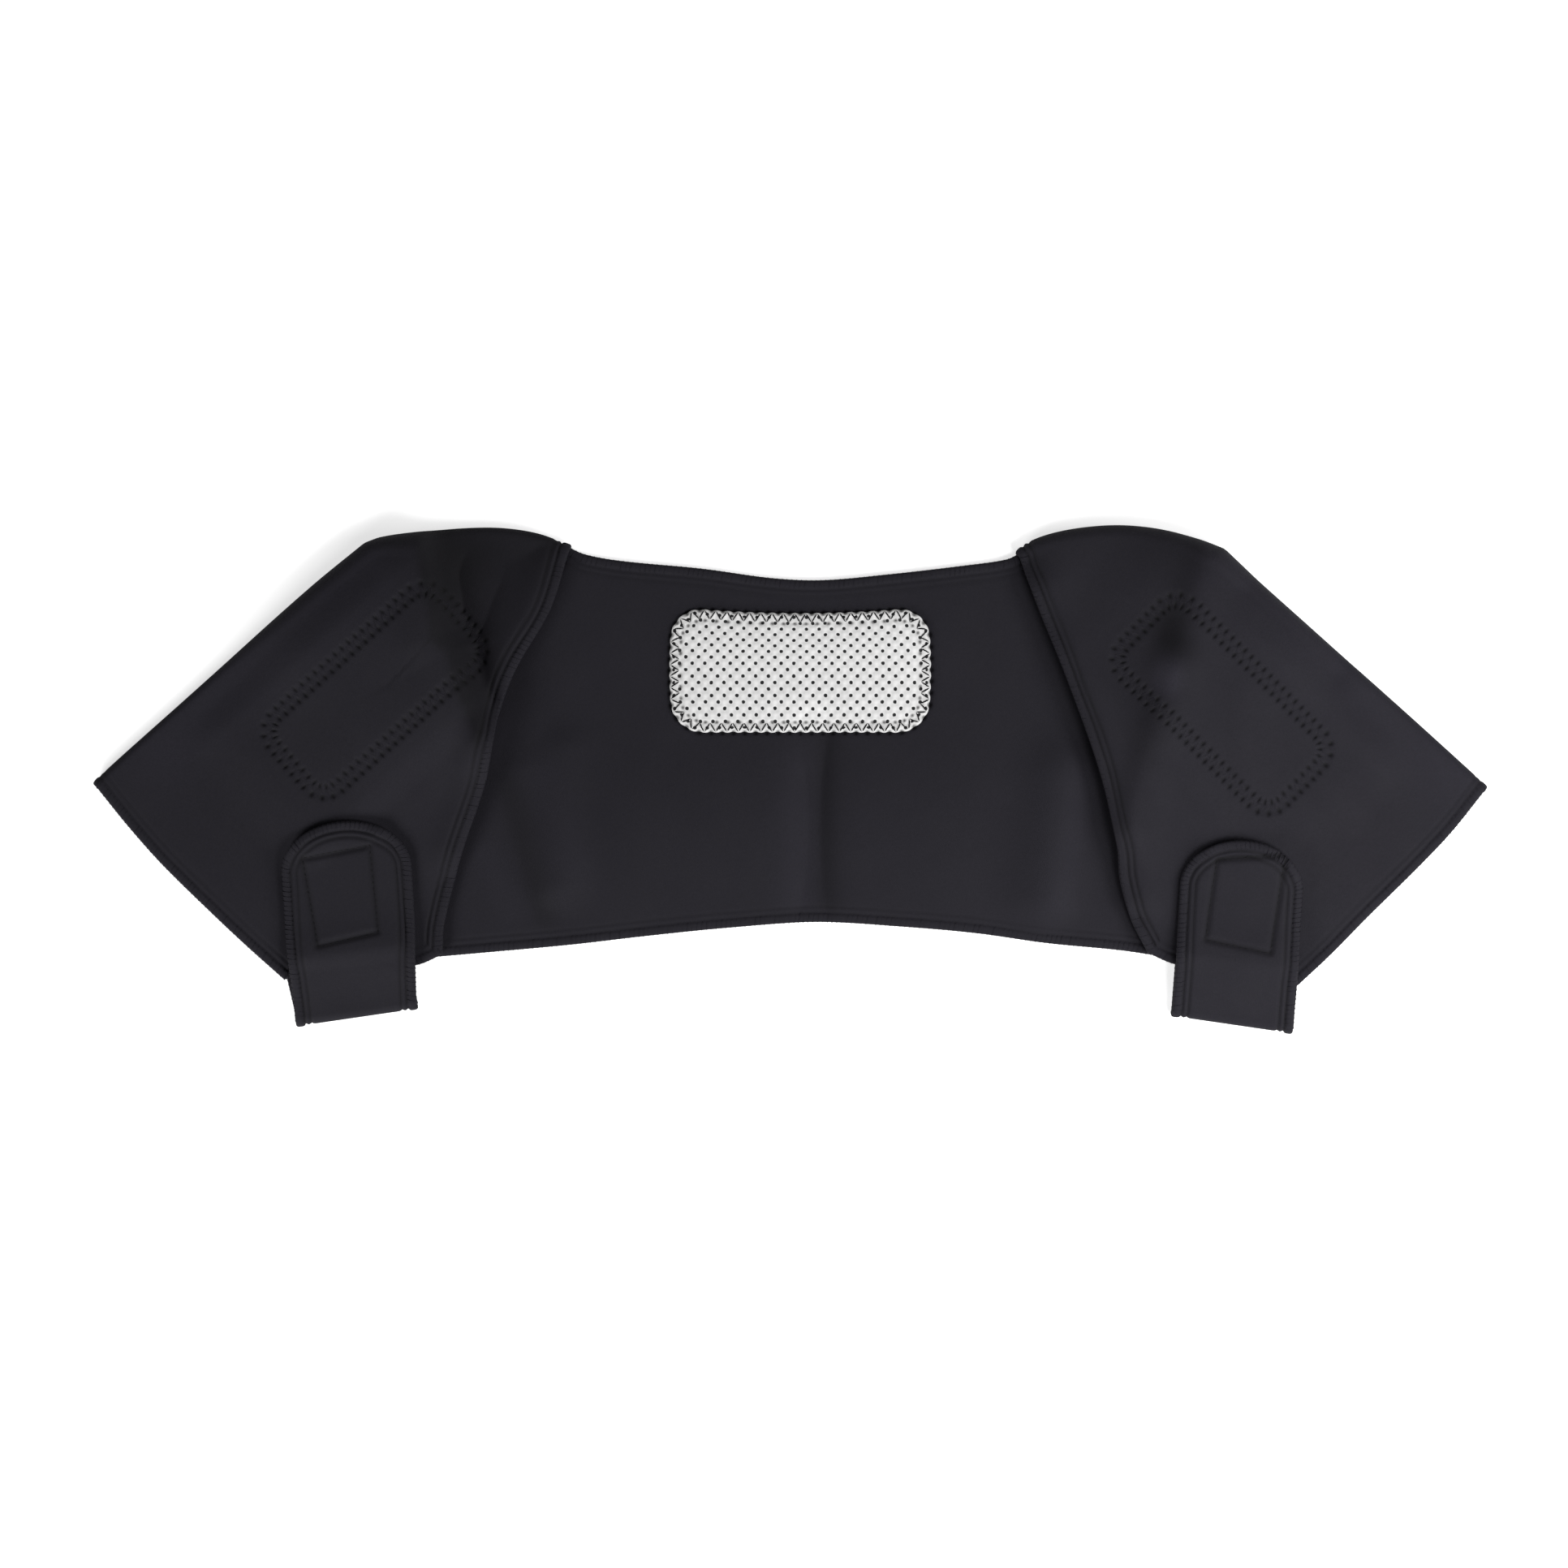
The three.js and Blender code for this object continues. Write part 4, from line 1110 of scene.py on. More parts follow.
def relief(tree, height, distance, strength=1.0, onto=None):
    inputs = {"Height": height, "Distance": distance, "Strength": strength}
    if onto is not None:
        inputs["Normal"] = onto
    return put(tree, "ShaderNodeBump", inputs).outputs[0]


def tinted(tree, colour, value):
    return put(tree, "ShaderNodeHueSaturation", {"Color": tuple(colour), "Value": value}).outputs[0]


def blended(tree, share, first, second):
    colour_a, colour_b, colour_out = 6, 7, 2
    inputs = {0: share, colour_a: first, colour_b: second}
    return put(tree, "ShaderNodeMix", inputs, data_type="RGBA").outputs[colour_out]


def neoprene(name, stitches, dent):
    """Black neoprene with a fine jersey face, dented along its ring of zigzag stitches; painted shade
    darkens its colour in the dents.
    """
    cloth = settings("brace_cloth")
    material, tree, shader, space = new_finish(
        name, roughness=0.8, specular_ior_level=0.2, sheen_weight=0.02, sheen_roughness=0.5)
    dents = needled(tree, stitches, dent)
    tone = mottled(tree, space["Object"], 14.0, 0.05)
    grain = mottled(tree, space["Object"], 900.0, 0.1)
    # Painted shade: the colour is darkened by the painted shading mark and in the needle dents, and painted
    # light lightens it where that mark is above 1
    value = tone * grain * (marked(tree, "nap") * (1.0 - dents * 0.7))
    feed(tree, shader["Base Color"], tinted(tree, cloth.cloth_colour, value))
    wander = noise(tree, space["Object"], 45.0, 3.0)
    feed(tree, shader["Roughness"], 0.72 + wander * 0.14)
    knit = group(tree, "knit", knit_group, vector=space["UV"], pitch=cloth.knit_pitch)["Height"]
    surface = relief(tree, wander, 0.5 * MM, 0.5)
    surface = relief(tree, knit, 0.07 * MM, 0.8, surface)
    feed(tree, shader["Normal"], relief(tree, 1.0 - dents, 0.9 * MM, 1.0, surface))
    return material


def thread(name, colour):
    """Polyester thread with a faint twist."""
    material, tree, shader, space = new_finish(name, roughness=0.65, specular_ior_level=0.15)
    feed(tree, shader["Base Color"], tinted(tree, colour, mottled(tree, space["Object"], 600.0, 0.25)))
    inputs = {"Vector": space["Object"], "Scale": 500.0, "Distortion": 2.0}
    twist = put(tree, "ShaderNodeTexWave", inputs).outputs["Fac"]
    feed(tree, shader["Normal"], relief(tree, twist, 0.05 * MM, 0.6))
    return material


def pad_cloth():
    """White tufted cloth with black dots, dented where the zigzag holds it; painted shade greys it in the
    dents.
    """
    pads = settings("brace_pads")
    material, tree, shader, space = new_finish(
        "dotted_cloth", roughness=0.8, specular_ior_level=0.3, sheen_weight=0.1)
    pattern = group(tree, "dots", dots_group, vector=space["UV"], across=pads.dot_across, up=pads.dot_up)
    dents = needled(tree, BACK_PAD_STITCHES, 0.8)
    tone = mottled(tree, space["Object"], 160.0, 0.05)
    # Painted shade: the white is darkened in the needle dents
    value = tone * (1.0 - pattern["Lattice"] * 0.2) * (1.0 - dents * 0.8)
    white = tinted(tree, pads.pad_colour, value)
    feed(tree, shader["Base Color"], blended(tree, pattern["Dots"], white, tuple(pads.dot_colour)))
    surface = relief(tree, pattern["Tufts"], 0.35 * MM, 0.8)
    surface = relief(tree, noise(tree, space["UV"], 1400.0, 1.0), 0.1 * MM, 0.5, surface)
    feed(tree, shader["Normal"], relief(tree, 1.0 - dents, 0.8 * MM, 1.0, surface))
    return material


def hook_tape():
    """Black hook tape: rows of stiff little hooks on a woven ground."""
    material, tree, shader, space = new_finish("hooked_tape", roughness=0.45, specular_ior_level=0.5)
    inputs = {"Vector": space["UV"], "Scale": 900.0, "Randomness": 0.3}
    hooks = Term(tree, put(tree, "ShaderNodeTexVoronoi", inputs).outputs["Distance"])
    feed(tree, shader["Base Color"], tinted(tree, settings("brace_cloth").tape_colour, 0.6 + hooks))
    feed(tree, shader["Normal"], relief(tree, hooks, 0.4 * MM, 0.8))
    return material


def table_top():
    """A pale table that gives off a little light to the camera, so that it comes out white."""
    stage = settings("brace_stage")
    material, tree, shader, space = new_finish("table_top", roughness=0.9, specular_ior_level=0.1)
    tone = mottled(tree, space["Object"], 3.0, 0.01)
    feed(tree, shader["Base Color"], tinted(tree, stage.floor_colour, tone))
    shader["Emission Color"].default_value = (stage.floor_glow,) * 3 + (1,)
    feed(tree, shader["Emission Strength"], put(tree, "ShaderNodeLightPath").outputs["Is Camera Ray"])
    return material


FINISHES = {
    "shoulder_jersey": lambda: neoprene("shoulder_jersey", SHOULDER_STITCHES, 1.5),
    "back_jersey": lambda: neoprene("back_jersey", BACK_PAD_STITCHES, 1.0),
    "black_thread": lambda: thread("black_thread", settings("brace_stitches").thread_colour),
    "cloth_thread": lambda: thread("cloth_thread", settings("brace_cloth").cloth_colour),
    "dotted_cloth": pad_cloth, "hooked_tape": hook_tape, "table_top": table_top,
}


def finish(name):
    return bpy.data.materials.get(name) or FINISHES[name]()


# The pieces

def worn(piece, slot, *nodes):
    """A finished piece rides on the brace's one body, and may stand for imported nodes."""
    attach(piece, BODY)
    if nodes:
        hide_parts(*nodes)
    return piece


def serge(name, grid, bead, stretches):
    """Overlock loops along stretches of a grid's edge, each a list of (row, column) from end to end."""
    stitches = settings("brace_stitches")
    normals = unit_normals(grid)
    threads = []
    for stretch in stretches:
        rows, columns = np.array(stretch).T
        last_row, last_column = grid.shape[0] - 1, grid.shape[1] - 1
        within = (
            np.clip(rows, RIM_CELLS, last_row - RIM_CELLS),
            np.clip(columns, RIM_CELLS, last_column - RIM_CELLS))
        line = grid[rows, columns]
        lie = normals[within]
        inward = unit(np.cross(lie, neighbours(line, 0)))
        inward *= np.sign((inward * (grid[within] - line)).sum())
        threads.append((line, lie, inward))
    line, lie, inward = (np.concatenate([part[k] for part in threads]) for k in range(3))
    path = thread_path(name, to_model(line), lie=lie, inward=inward)
    if len(threads) > 1:
        split_path(path, np.cumsum([len(part[0]) for part in threads])[:-1])
    grow(
        path, shared_tree("overlock_loops", overlock_tree), pitch=stitches.overlock_pitch,
        reach=bead * MM, half_height=(BEAD_HALF - LOOP_SINK) * MM, slant=LOOP_SLANT * MM,
        thread_radius=stitches.thread_radius * 0.8, seed=stitches.seed, material=finish("cloth_thread"))
    return worn(path, "neoprene")


def split_path(path, breaks):
    """Leaves out the edges that join one stretch of a path to the next."""
    marks = {}
    for name in ("lie", "inward"):
        values = np.empty(len(path.data.vertices) * 3, np.float32)
        path.data.attributes[name].data.foreach_get("vector", values)
        marks[name] = values
    points = [tuple(vertex.co) for vertex in path.data.vertices]
    edges = [(k, k + 1) for k in range(len(points) - 1) if k + 1 not in set(breaks.tolist())]
    mesh = bpy.data.meshes.new(path.name)
    mesh.from_pydata(points, edges, [])
    for name, values in marks.items():
        mesh.attributes.new(name, "FLOAT_VECTOR", "POINT").data.foreach_set("vector", values)
    path.data = mesh


def sew(name, cloth, points, aside, lie, stitches, width, dip, stand, snap=True, finished="cloth_thread",
        thicker=0.85):
    """A line of stitches laid on a cloth, with its needle holes to both sides of the path."""
    line = to_model(points)
    reached = np.concatenate([[0], np.cumsum(length_of(np.diff(points, axis=0)))])
    beat = reached / reached[-1] * stitches
    path = thread_path(name, line, lie=lie, aside=aside, beat=beat)
    grow(
        path, shared_tree("stitch_line", stitch_tree), cloth=cloth, snap=snap, stitches=stitches,
        width=width * MM, dip=dip * MM, stand=stand * MM,
        thread_radius=settings("brace_stitches").thread_radius * thicker, material=finish(finished))
    return worn(path, "neoprene")


def run_of(count, fixed, along_rows):
    """Grid places along one row or column, from its start to its end."""
    return [(k, fixed) if along_rows else (fixed, k) for k in range(count)]


def shoulder_grid(side):
    """The folded sheet of one shoulder: the half on the table, the bend, and the front flap."""
    plan = Side(side)
    u = spaced(FOLD_LENGTH, PANEL_SPACING, PANEL_BEAD, PANEL_BEAD)
    back_v = spaced(SEAM_LENGTH, HIDDEN_SPACING, 0, PANEL_BEAD)
    front_v = spaced(FREE_EDGE_LENGTH, PANEL_SPACING, 0, PANEL_BEAD)
    inset, outward, radius = plan.fold_line(u)
    nudge = np.array([CLEARANCE / 2, 0])
    seam_start = inset[0] + nudge
    seam_foot = plan.seam_foot + nudge
    start = inset + nudge * np.clip(1 - u / BEND_WINDOW, 0, 1)[:, None]
    back = between_edges(
        start, bowed(seam_foot, plan.heel, [], u), bowed(seam_start, seam_foot, plan.rows["seam"], back_v),
        bowed(inset[-1], plan.heel, plan.rows["arm_hem"], back_v), u, back_v)
    front = between_edges(
        inset, bowed(plan.foot, plan.heel, plan.rows["flap_hem"], u),
        bowed(inset[0], plan.foot, plan.rows["flap_edge"], front_v),
        bowed(inset[-1], plan.heel, plan.rows["arm_hem"], front_v), u, front_v)
    table = NEOPRENE / 2
    bend = []
    for share in np.linspace(0, 1, BEND_ROWS + 1)[1:-1]:
        turn = share * math.pi
        bend.append(plan.raise_up(
            inset + outward * (radius * math.sin(turn))[:, None], table + radius * (1 - math.cos(turn))))
    return plan, front, np.concatenate([
        plan.raise_up(back[::-1], table), np.array(bend), plan.raise_up(front, table + plan.lift(front)),
    ]), len(back_v)


def shoulder_ring():
    """The ring of stitches that holds a shoulder pad, in the pad's own frame."""
    return ring_path(
        SHOULDER_PAD_LENGTH / 2 - SHOULDER_RING_INSET, SHOULDER_PAD_WIDTH / 2 - SHOULDER_RING_INSET,
        PAD_CORNER - SHOULDER_RING_INSET / 2)


def make_shoulder(name):
    plan, front, grid, back_rows = shoulder_grid(name)
    rows, columns = grid.shape[:2]
    in_bend = np.arange(rows) >= back_rows
    free_edge = distance_to_edge(grid, "first column", in_bend)
    hems = [distance_to_edge(grid, edge) for edge in ("first row", "last row", "last column")]
    serged = np.minimum.reduce([*hems, free_edge])
    depth = np.where(free_edge <= serged, 1, HEM_GROOVE_SHARE)
    seam = distance_to_edge(grid, "first column", ~in_bend)
    half = serged_half(serged, PANEL_BEAD, depth) - seam_loss(seam)
    ring = shoulder_ring()
    marks, _ = ring_marks(plan.in_pad_frame(front), ring)
    whole = no_ring((rows, columns))
    for mark, values in marks.items():
        whole[mark][rows - len(front):] = values
    half = np.maximum(half - channel_loss(whole["ring_aside"]), RIM_HALF)
    flat = grid[..., :2] * (plan.sign, 1)
    # Painted shade and painted light in the flap's colour: darker over its creases and needle grooves,
    # lighter along rows below 0
    shading_rows = [(place(path), reach, darker) for path, reach, darker in plan.rows["nap"]]
    nap = painted_shading_of(shading_rows, flat, serged, PANEL_BEAD, depth)
    whole["nap"] = np.where(in_bend[:, None], nap, painted_shading_of([], flat, serged, PANEL_BEAD))
    piece = cloth_wall(
        f"{name}_shoulder_cloth", grid, half, finish("shoulder_jersey"), layout_of(grid), whole)
    threads = [serge(f"{name}_shoulder_overlock", grid, PANEL_BEAD, [[
        *run_of(columns, 0, False), *run_of(rows, columns - 1, True)[1:],
        *run_of(columns, rows - 1, False)[::-1][1:], *run_of(rows, 0, True)[::-1][1:rows - back_rows],
    ]])]
    plan_ring = plan.from_pad_frame(ring)
    outward = turned(ring_outward(ring), plan.rows["pad_turn"])
    lie = np.broadcast_to((0.0, 0.0, 1.0), (len(ring), 3))
    outward = np.concatenate([outward * (plan.sign, 1), np.zeros((len(ring), 1))], -1)
    threads.append(sew(
        f"{name}_pad_zigzag", piece, plan.on_flap(plan_ring, NEOPRENE / 2), outward, lie, SHOULDER_STITCHES,
        ZIGZAG_WIDTH, 0.6, -0.14))
    worn(piece, "neoprene", f"{name}_shoulder_panel")
    cloth_area(grid)


def shoulder_pad_piece(name):
    """The pad sewn under the front flap, with its upper face against the flap."""
    plan = Side(name)
    half_length, half_width = SHOULDER_PAD_LENGTH / 2, SHOULDER_PAD_WIDTH / 2
    v = spaced(SHOULDER_PAD_LENGTH, HIDDEN_PAD_SPACING)
    u = spaced(SHOULDER_PAD_WIDTH, HIDDEN_PAD_SPACING)
    across, along = np.meshgrid((2 * u - 1) * half_width, (2 * v - 1) * half_length)
    across, along = round_corners(across, along, PAD_CORNER, PAD_CORNER, half_width, half_length)
    local = np.stack([along, across], -1)
    drop = NEOPRENE / 2 + CLEARANCE + PAD_THICKNESS / 2
    grid = plan.on_flap(plan.from_pad_frame(local), -drop)
    marks, _ = ring_marks(local, shoulder_ring())
    piece = cloth_wall(f"{name}_shoulder_pad", grid, pad_half(grid), finish("dotted_cloth"), local, marks)
    worn(piece, "pad_cloth", f"{name}_shoulder_heating_pad")


def pad_half(grid, plump=0.0):
    """Half a pad's thickness: a rounded edge, held down by its stitches, and fuller in the middle."""
    edges = ("first row", "last row", "first column", "last column")
    inside = np.minimum.reduce([distance_to_edge(grid, edge) for edge in edges])
    rounded = np.sqrt(np.clip(1 - (1 - np.clip(inside / PAD_EDGE_RADIUS, 0, 1)) ** 2, 0, 1))
    held_down = mix(PAD_HELD_SHARE, 1, ease((inside - PAD_HELD_WIDTH) / PAD_HELD_SLOPE))
    body = PAD_THICKNESS / 2 * held_down + plump * ease((inside - PAD_PLUMP_START) / PAD_PLUMP_SLOPE)
    return np.maximum(rounded * body, RIM_HALF)


def seams():
    return Side("left").seam_edge(np.linspace(0, 1, 8)), Side("right").seam_edge(np.linspace(0, 1, 8))


def on_back(path):
    return np.array(path) * (SLEEVE_REACH, BACK_HEIGHT)


def back_waves(points):
    """How far the waves lift the back panel off the table."""
    rows = [
        (on_back(path), np.array(width) * SLEEVE_REACH, height * BACK_RIPPLE)
        for path, width, height in RIPPLES + SMALL_RIPPLES
    ]
    first, last = seams()
    rim = RIPPLE_EDGE_SHARE * SLEEVE_REACH
    from_seams = np.minimum(from_path(points, first)[0], from_path(points, last)[0])
    field = np.maximum(ridges(rows, points), 0)
    return field * ease(from_seams / rim) * ease((BACK_HEIGHT - points[..., 1]) / rim)


def back_grid():
    u = spaced(BACK_SPAN, PANEL_SPACING)
    v = spaced(BACK_SIDE_LENGTH, PANEL_SPACING, PANEL_BEAD, PANEL_BEAD)
    first, last = Side("left").seam_edge(v), Side("right").seam_edge(v)

    def edge(start, end, rows, depth):
        heights = mix(start[1], end[1], u) + depth * smooth([(0, 0), *rows, (1, 0)], u)
        return np.stack([mix(start[0], end[0], u), heights], -1)

    top = edge(first[0], last[0], NECKLINE, BACK_HEIGHT - (first[0, 1] + last[0, 1]) / 2)
    bottom = edge(first[-1], last[-1], BOTTOM_HEM, -first[-1, 1])
    flat = between_edges(top, bottom, first, last, u, v)
    return flat, np.concatenate([flat, (NEOPRENE / 2 + back_waves(flat))[..., None]], -1)


def back_pad_plan(across, up):
    """The white pad's plan: its sides swell and its top edge dips."""
    half_width, half_height = BACK_PAD_WIDTH / 2, BACK_PAD_HEIGHT / 2
    middle = BACK_HEIGHT - BACK_PAD_DROP - half_height
    swell = 1 - 0.03 * (up / half_height) ** 2
    dip = 0.1 * ease(up / half_height) * (1 - (across / half_width) ** 2)
    return np.stack([BACK_PAD_SHIFT + across * swell, middle + up - dip * half_height], -1)


def back_ring():
    ring = ring_path(
        BACK_PAD_WIDTH / 2 - BACK_RING_INSET, BACK_PAD_HEIGHT / 2 - BACK_RING_INSET,
        BACK_PAD_CORNER - BACK_RING_INSET / 2)
    return back_pad_plan(ring[:, 0], ring[:, 1])


def make_back():
    flat, grid = back_grid()
    rows, columns = grid.shape[:2]
    serged = np.minimum(distance_to_edge(grid, "first row"), distance_to_edge(grid, "last row"))
    seam = np.minimum(distance_to_edge(grid, "first column"), distance_to_edge(grid, "last column"))
    marks, _ = ring_marks(flat, back_ring())
    half = serged_half(serged, PANEL_BEAD, HEM_GROOVE_SHARE)
    half = half - seam_loss(seam) - 0.5 * channel_loss(marks["ring_aside"])
    # Painted shade and painted light in the back's colour, over its waves and in its hem's needle grooves
    shading_rows = [(on_back(path), reach, darker) for path, reach, darker in BACK_PAINTED_SHADING]
    marks["nap"] = painted_shading_of(shading_rows, flat, serged, PANEL_BEAD, HEM_GROOVE_SHARE)
    piece = cloth_wall(
        "back_panel_cloth", grid, np.maximum(half, RIM_HALF), finish("back_jersey"), layout_of(grid), marks)
    overlock = serge(
        "back_overlock", grid, PANEL_BEAD, [run_of(columns, 0, False), run_of(columns, rows - 1, False)])
    worn(piece, "neoprene", "back_panel")
    cloth_area(grid)


def make_back_pad():
    half_width, half_height = BACK_PAD_WIDTH / 2, BACK_PAD_HEIGHT / 2
    u = spaced(BACK_PAD_WIDTH, PAD_SPACING)
    v = spaced(BACK_PAD_HEIGHT, PAD_SPACING)
    across, up = np.meshgrid((2 * u - 1) * half_width, (2 * v - 1) * half_height)
    across, up = round_corners(across, up, BACK_PAD_CORNER, BACK_PAD_CORNER, half_width, half_height)
    flat = back_pad_plan(across, up)
    marks, outward = ring_marks(flat, back_ring())
    turn = np.arctan2(marks["ring_sine"], marks["ring_cosine"]) * BACK_PAD_STITCHES
    pulled = (0.5 + 0.5 * np.cos(turn)) ** 1.5 * ease((marks["ring_aside"] + 1) / BACK_RING_INSET)
    flat = flat - outward * (SCALLOP * pulled)[..., None]
    raise_by = NEOPRENE + CLEARANCE + PAD_THICKNESS / 2
    grid = np.concatenate([flat, (back_waves(flat) + raise_by)[..., None]], -1)
    half = pad_half(grid, PAD_PLUMP)
    piece = cloth_wall(
        "back_pad", grid, half, finish("dotted_cloth"), np.stack([across, up], -1), marks)
    ring = back_ring()
    outward = ring_outward(ring)
    outward = np.concatenate([outward, np.zeros((len(outward), 1))], -1)
    lie = np.broadcast_to((0.0, 0.0, 1.0), (len(ring), 3))
    raised = np.concatenate([ring, (back_waves(ring) + raise_by + PAD_THICKNESS / 2)[:, None]], -1)
    sew("back_pad_zigzag", piece, raised, outward, lie, BACK_PAD_STITCHES, BACK_ZIGZAG_WIDTH, 0.5, 0.1,
        finished="black_thread", thicker=1.2)
    worn(piece, "pad_cloth", "back_heating_pad")


def strap_grid(plan):
    """The strap as one sheet: its root at the hem, the bend, and the lap over the front flap."""
    u = spaced(STRAP_WIDTH, STRAP_SPACING, STRAP_BEAD, STRAP_BEAD)
    root_v = spaced(ROOT_LENGTH, HIDDEN_STRAP_SPACING)[::-1]
    lap_v = spaced(plan.rows["lap"], STRAP_SPACING, 0, STRAP_BEAD)
    across = (2 * u - 1) * STRAP_WIDTH / 2
    lap = plan.rows["lap"]
    table = NEOPRENE / 2
    outline = plan.strap_middle + plan.fold * (across / (plan.inward @ plan.free))[:, None]
    inset = outline
    for _ in range(4):
        radius = plan.strap_height(inset, (inset - plan.strap_middle) @ plan.free) / 2
        inset = outline + plan.inward * (radius + NEOPRENE / 2)[:, None]
    radius = plan.strap_height(inset, (inset - plan.strap_middle) @ plan.free) / 2
    hem = unit(plan.heel - plan.seam_foot)
    below_hem = np.array([hem[1], -hem[0]])
    to_hem = plan.seam_foot + below_hem * CLEARANCE - inset
    root_length = to_hem @ below_hem / (plan.root @ below_hem)
    rows = [plan.raise_up(inset + plan.root * (root_length * share)[:, None], table) for share in root_v]
    for share in np.linspace(0, 1, BEND_ROWS + 1)[1:-1]:
        angle = share * math.pi
        point = inset - plan.inward * (radius * math.sin(angle))[:, None]
        rows.append(plan.raise_up(point, table + radius * (1 - math.cos(angle))))
    from_middle = inset - plan.strap_middle
    first, sideways = from_middle @ plan.free, from_middle @ plan.aside
    for share in lap_v:
        along = mix(first, lap, share)
        bent, reached = round_corners(across, along, STRAP_WIDTH / 2, STRAP_END, STRAP_WIDTH / 2, lap)
        widened = bent * (1 + plan.rows["flare"] * ease(2 * along / lap))
        shifted = widened + (sideways - across) * (1 - ease(along / lap))
        point = plan.strap_middle + plan.free * reached[:, None] + plan.aside * shifted[:, None]
        rows.append(plan.raise_up(point, table + plan.strap_height(point, reached)))
    return np.array(rows), len(root_v) + BEND_ROWS - 1


def make_strap(name):
    plan = Side(name)
    grid, lap_start = strap_grid(plan)
    rows, columns = grid.shape[:2]
    serged = np.minimum.reduce([
        distance_to_edge(grid, "first column"), distance_to_edge(grid, "last column"),
        distance_to_edge(grid, "last row", reach=24),
    ])
    root_seam = distance_to_edge(grid, "first row")
    half = serged_half(serged, STRAP_BEAD) - seam_loss(root_seam)
    lap = plan.rows["lap"]
    box = np.array([
        plan.strap_middle + plan.free * (up * lap) + plan.aside * (out * STRAP_WIDTH / 2)
        for out, up in plan.rows["box"]
    ])
    box = np.concatenate([box, box[:1]])
    plan_points = grid[..., :2] * (plan.sign, 1)
    sewn = np.exp(-(from_path(plan_points, box)[0] / BOX_GROOVE_WIDTH) ** 2)
    sewn[:lap_start] = 0
    loss = BOX_GROOVE_DEPTH * sewn
    # Painted shade in the strap's colour along its needle grooves and the grooves of its stitched box
    nap = painted_shading_of([], plan_points, serged, STRAP_BEAD) - GROOVE_SHADE * sewn
    marks = no_ring((rows, columns))
    marks["nap"] = nap
    piece = cloth_wall(
        f"{name}_strap_cloth", grid, np.maximum(half - loss, RIM_HALF), finish("shoulder_jersey"),
        layout_of(grid), marks)
    threads = [serge(f"{name}_strap_overlock", grid, STRAP_BEAD, [[
        *run_of(rows, 0, True), *run_of(columns, rows - 1, False)[1:],
        *run_of(rows, columns - 1, True)[::-1][1:],
    ]])]
    steps = np.linspace(0, 1, 60, endpoint=False)[:, None]
    line = np.concatenate([mix(a, b, steps) for a, b in zip(box, box[1:])])
    reached = (line - plan.strap_middle) @ plan.free
    raised = plan.raise_up(line, NEOPRENE + plan.strap_height(line, reached))
    lie = np.broadcast_to((0.0, 0.0, 1.0), (len(line), 3))
    box_length = length_of(np.diff(box, axis=0)).sum()
    count = round(box_length * MM / (2 * settings("brace_stitches").run_pitch))
    threads.append(sew(
        f"{name}_strap_box", piece, raised, lie, lie, count, 0, 0.5, -0.1, finished="black_thread"))
    worn(piece, "neoprene", f"{name}_strap")
    STRAP_WIDTH * MM * (1 + plan.rows["flare"])
    cloth_area(grid)


def make_hook_patch(name):
    plan = Side(name)
    half_width, half_length = HOOK_PATCH_WIDTH / 2, HOOK_PATCH_LENGTH / 2
    u = spaced(HOOK_PATCH_WIDTH, HIDDEN_STRAP_SPACING)
    v = spaced(HOOK_PATCH_LENGTH, HIDDEN_STRAP_SPACING)
    across, along = np.meshgrid((2 * u - 1) * half_width, (2 * v - 1) * half_length)
    across, along = round_corners(
        across, along, HOOK_PATCH_CORNER, HOOK_PATCH_CORNER, half_width, half_length)
    local = np.stack([across, along], -1)
    points = turned(local, plan.rows["patch_turn"]) + plan.patch_centre
    grid = plan.on_flap(points, NEOPRENE / 2 + CLEARANCE + HOOK_PATCH_THICKNESS / 2)
    half = np.full(grid.shape[:2], HOOK_PATCH_THICKNESS / 2)
    piece = cloth_wall(f"{name}_hook_tape", grid, half, finish("hooked_tape"), local)
    worn(piece, "hook_tape", f"{name}_hook_patch")


def make_seam(name):
    """The zigzag that joins the back panel to a shoulder panel, over their meeting edges."""
    plan = Side(name)
    shares = np.linspace(NECK_SHARE, 1, 400)
    line = plan.seam_edge(shares)
    along = unit(neighbours(line, 0))
    aside = np.concatenate([np.stack([along[:, 1], -along[:, 0]], -1), np.zeros((len(line), 1))], -1)
    lie = np.broadcast_to((0.0, 0.0, 1.0), (len(line), 3))
    raised = np.concatenate([line, np.full((len(line), 1), NEOPRENE - SEAM_DIP)], -1)
    count = round(length_of(np.diff(line, axis=0)).sum() / 3)
    sew(f"{name}_seam_stitches", None, raised, aside, lie, count, 4, 0.7, 0.3, False)


# Operators

class BRACE_OT_back(bpy.types.Operator):
    """The back panel with its serged neckline and hem"""
    bl_idname = "brace.back"
    bl_label = "Back panel"

    def execute(self, context):
        make_back()
        return {"FINISHED"}


class BRACE_OT_shoulders(bpy.types.Operator):
    """Both folded shoulder panels, with their zigzag rings and serged edges"""
    bl_idname = "brace.shoulders"
    bl_label = "Shoulder panels"

    def execute(self, context):
        for name in SIDES:
            make_shoulder(name)
            make_seam(name)
        return {"FINISHED"}


class BRACE_OT_pads(bpy.types.Operator):
    """The white dotted heating pads in the back and in both shoulders"""
    bl_idname = "brace.pads"
    bl_label = "Heating pads"

    def execute(self, context):
        make_back_pad()
        for name in SIDES:
            shoulder_pad_piece(name)
        return {"FINISHED"}


class BRACE_OT_straps(bpy.types.Operator):
    """Both folded straps and the hook tape under them"""
    bl_idname = "brace.straps"
    bl_label = "Straps"

    def execute(self, context):
        for name in SIDES:
            make_strap(name)
            make_hook_patch(name)
        return {"FINISHED"}


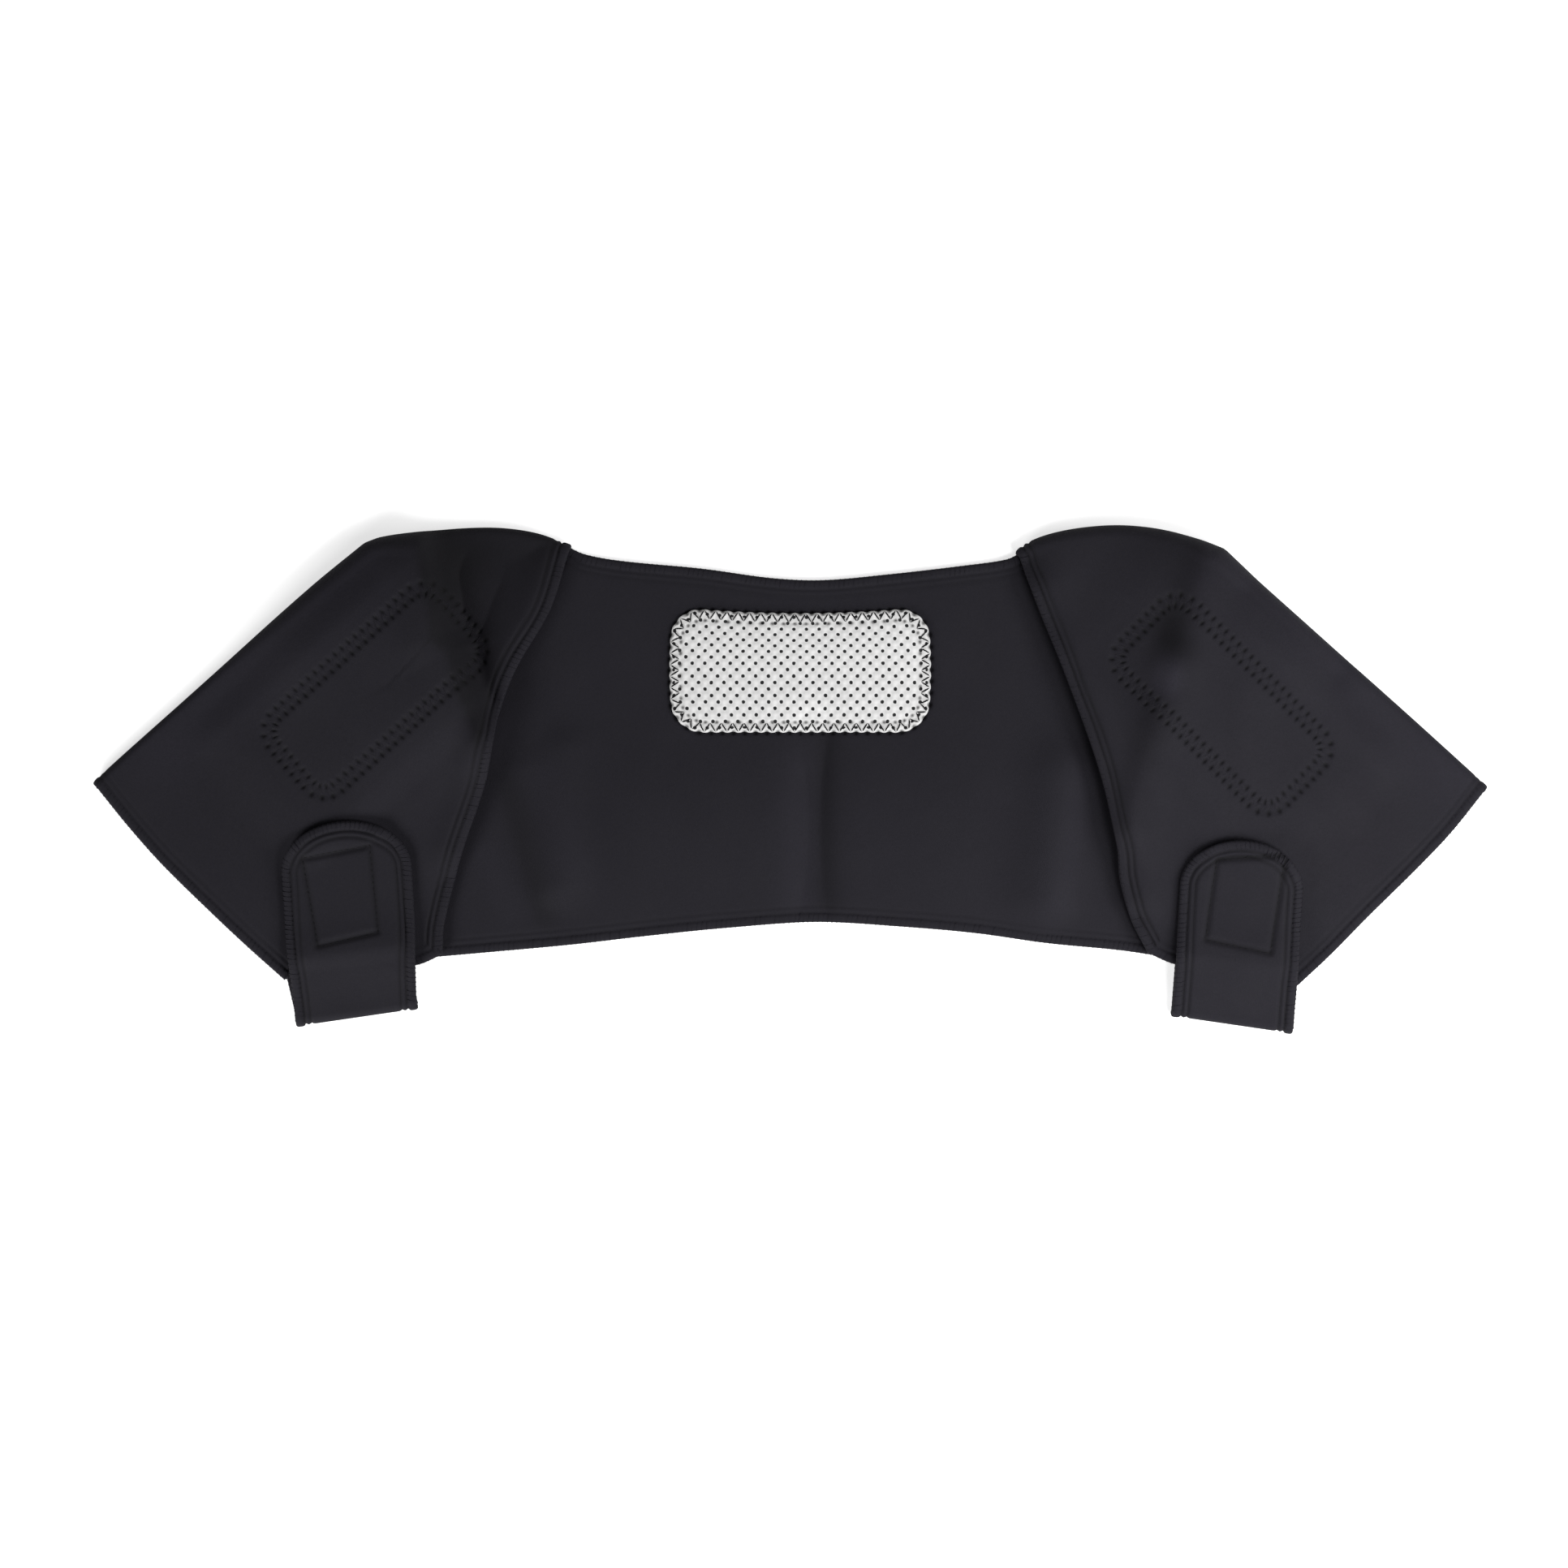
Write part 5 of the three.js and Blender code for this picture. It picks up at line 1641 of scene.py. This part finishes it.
class BRACE_OT_stage(bpy.types.Operator):
    """A pale table, soft lights and the camera of the photograph"""
    bl_idname = "brace.stage"
    bl_label = "Stage"

    def execute(self, context):
        make_stage()
        return {"FINISHED"}


def area_light(name, power, size, place_at, aim):
    light = bpy.data.lights.new(name, "AREA")
    light.shape = "SQUARE"
    light.size = size
    light.energy = power
    lamp = new_object(name, light)
    lamp.location = place_at
    lamp.visible_camera = False
    direction = Vector(aim) - Vector(place_at)
    lamp.rotation_euler = direction.to_track_quat("-Z", "Y").to_euler()


def make_camera(stage):
    camera = bpy.data.cameras.new("camera")
    camera.lens = stage.lens
    camera.sensor_width = 36
    viewer = new_object("camera", camera)
    distance = PHOTO_WIDTH * MM * stage.lens / camera.sensor_width
    viewer.location = (PHOTO_CENTRE[0] * MM, PHOTO_CENTRE[1] * MM, distance + CAMERA_AIM_HEIGHT * MM)
    bpy.context.scene.camera = viewer


def make_stage():
    stage = settings("brace_stage")
    make_camera(stage)
    low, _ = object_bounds()
    corners = np.array([(-1, -1), (1, -1), (1, 1), (-1, 1)]) * FLOOR_HALF
    ground = np.concatenate([corners, np.full((4, 1), low[2] - FLOOR_GAP * MM)], -1)
    floor = new_object("floor", mesh_from("floor", ground, np.array([[0, 1, 2, 3]])))
    floor.data.materials.append(finish("table_top"))
    floor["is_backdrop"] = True
    for name, (azimuth, height, distance) in LIGHTS.items():
        level = distance * math.cos(math.radians(height))
        sine, cosine = leaning(azimuth)
        place_at = (level * cosine, level * sine, distance * math.sin(math.radians(height)))
        area_light(f"{name}_light", getattr(stage, f"{name}_power"), LIGHT_SIZE, place_at, (0, 0, 0))
    world = bpy.data.worlds.new("room")
    world.use_nodes = True
    world.node_tree.nodes["Background"].inputs["Color"].default_value = (1, 1, 1, 1)
    world.node_tree.nodes["Background"].inputs["Strength"].default_value = stage.room_light
    bpy.context.scene.world = world
    bpy.context.scene.view_settings.view_transform = "Standard"


class BRACE_PT_panel(bpy.types.Panel):
    """Everything the brace is made of, in the order it is made"""
    bl_idname = "BRACE_PT_panel"
    bl_label = "Shoulder brace"
    bl_space_type = "VIEW_3D"
    bl_region_type = "UI"
    bl_category = "Brace"

    def draw(self, context):
        for group_name, group_class in SETTINGS.items():
            box = self.layout.box()
            for name in group_class.__annotations__:
                box.prop(getattr(context.scene, group_name), name)
        for operator in OPERATORS:
            self.layout.operator(operator.bl_idname)


SETTINGS = {
    "brace_cloth": BraceCloth, "brace_pads": BracePads, "brace_stitches": BraceStitches,
    "brace_stage": BraceStage,
}
OPERATORS = (BRACE_OT_back, BRACE_OT_shoulders, BRACE_OT_pads, BRACE_OT_straps, BRACE_OT_stage)


def register():
    for group_name, group_class in SETTINGS.items():
        bpy.utils.register_class(group_class)
        setattr(bpy.types.Scene, group_name, PointerProperty(type=group_class))
    for operator in OPERATORS:
        bpy.utils.register_class(operator)
    bpy.utils.register_class(BRACE_PT_panel)


def unregister():
    bpy.utils.unregister_class(BRACE_PT_panel)
    for operator in OPERATORS:
        bpy.utils.unregister_class(operator)
    for group_name, group_class in SETTINGS.items():
        delattr(bpy.types.Scene, group_name)
        bpy.utils.unregister_class(group_class)


def main():
    register()
    find_offset()
    for operator in OPERATORS:
        category, action = operator.bl_idname.split(".")
        getattr(getattr(bpy.ops, category), action)()


if __name__ == "__main__":
    main()
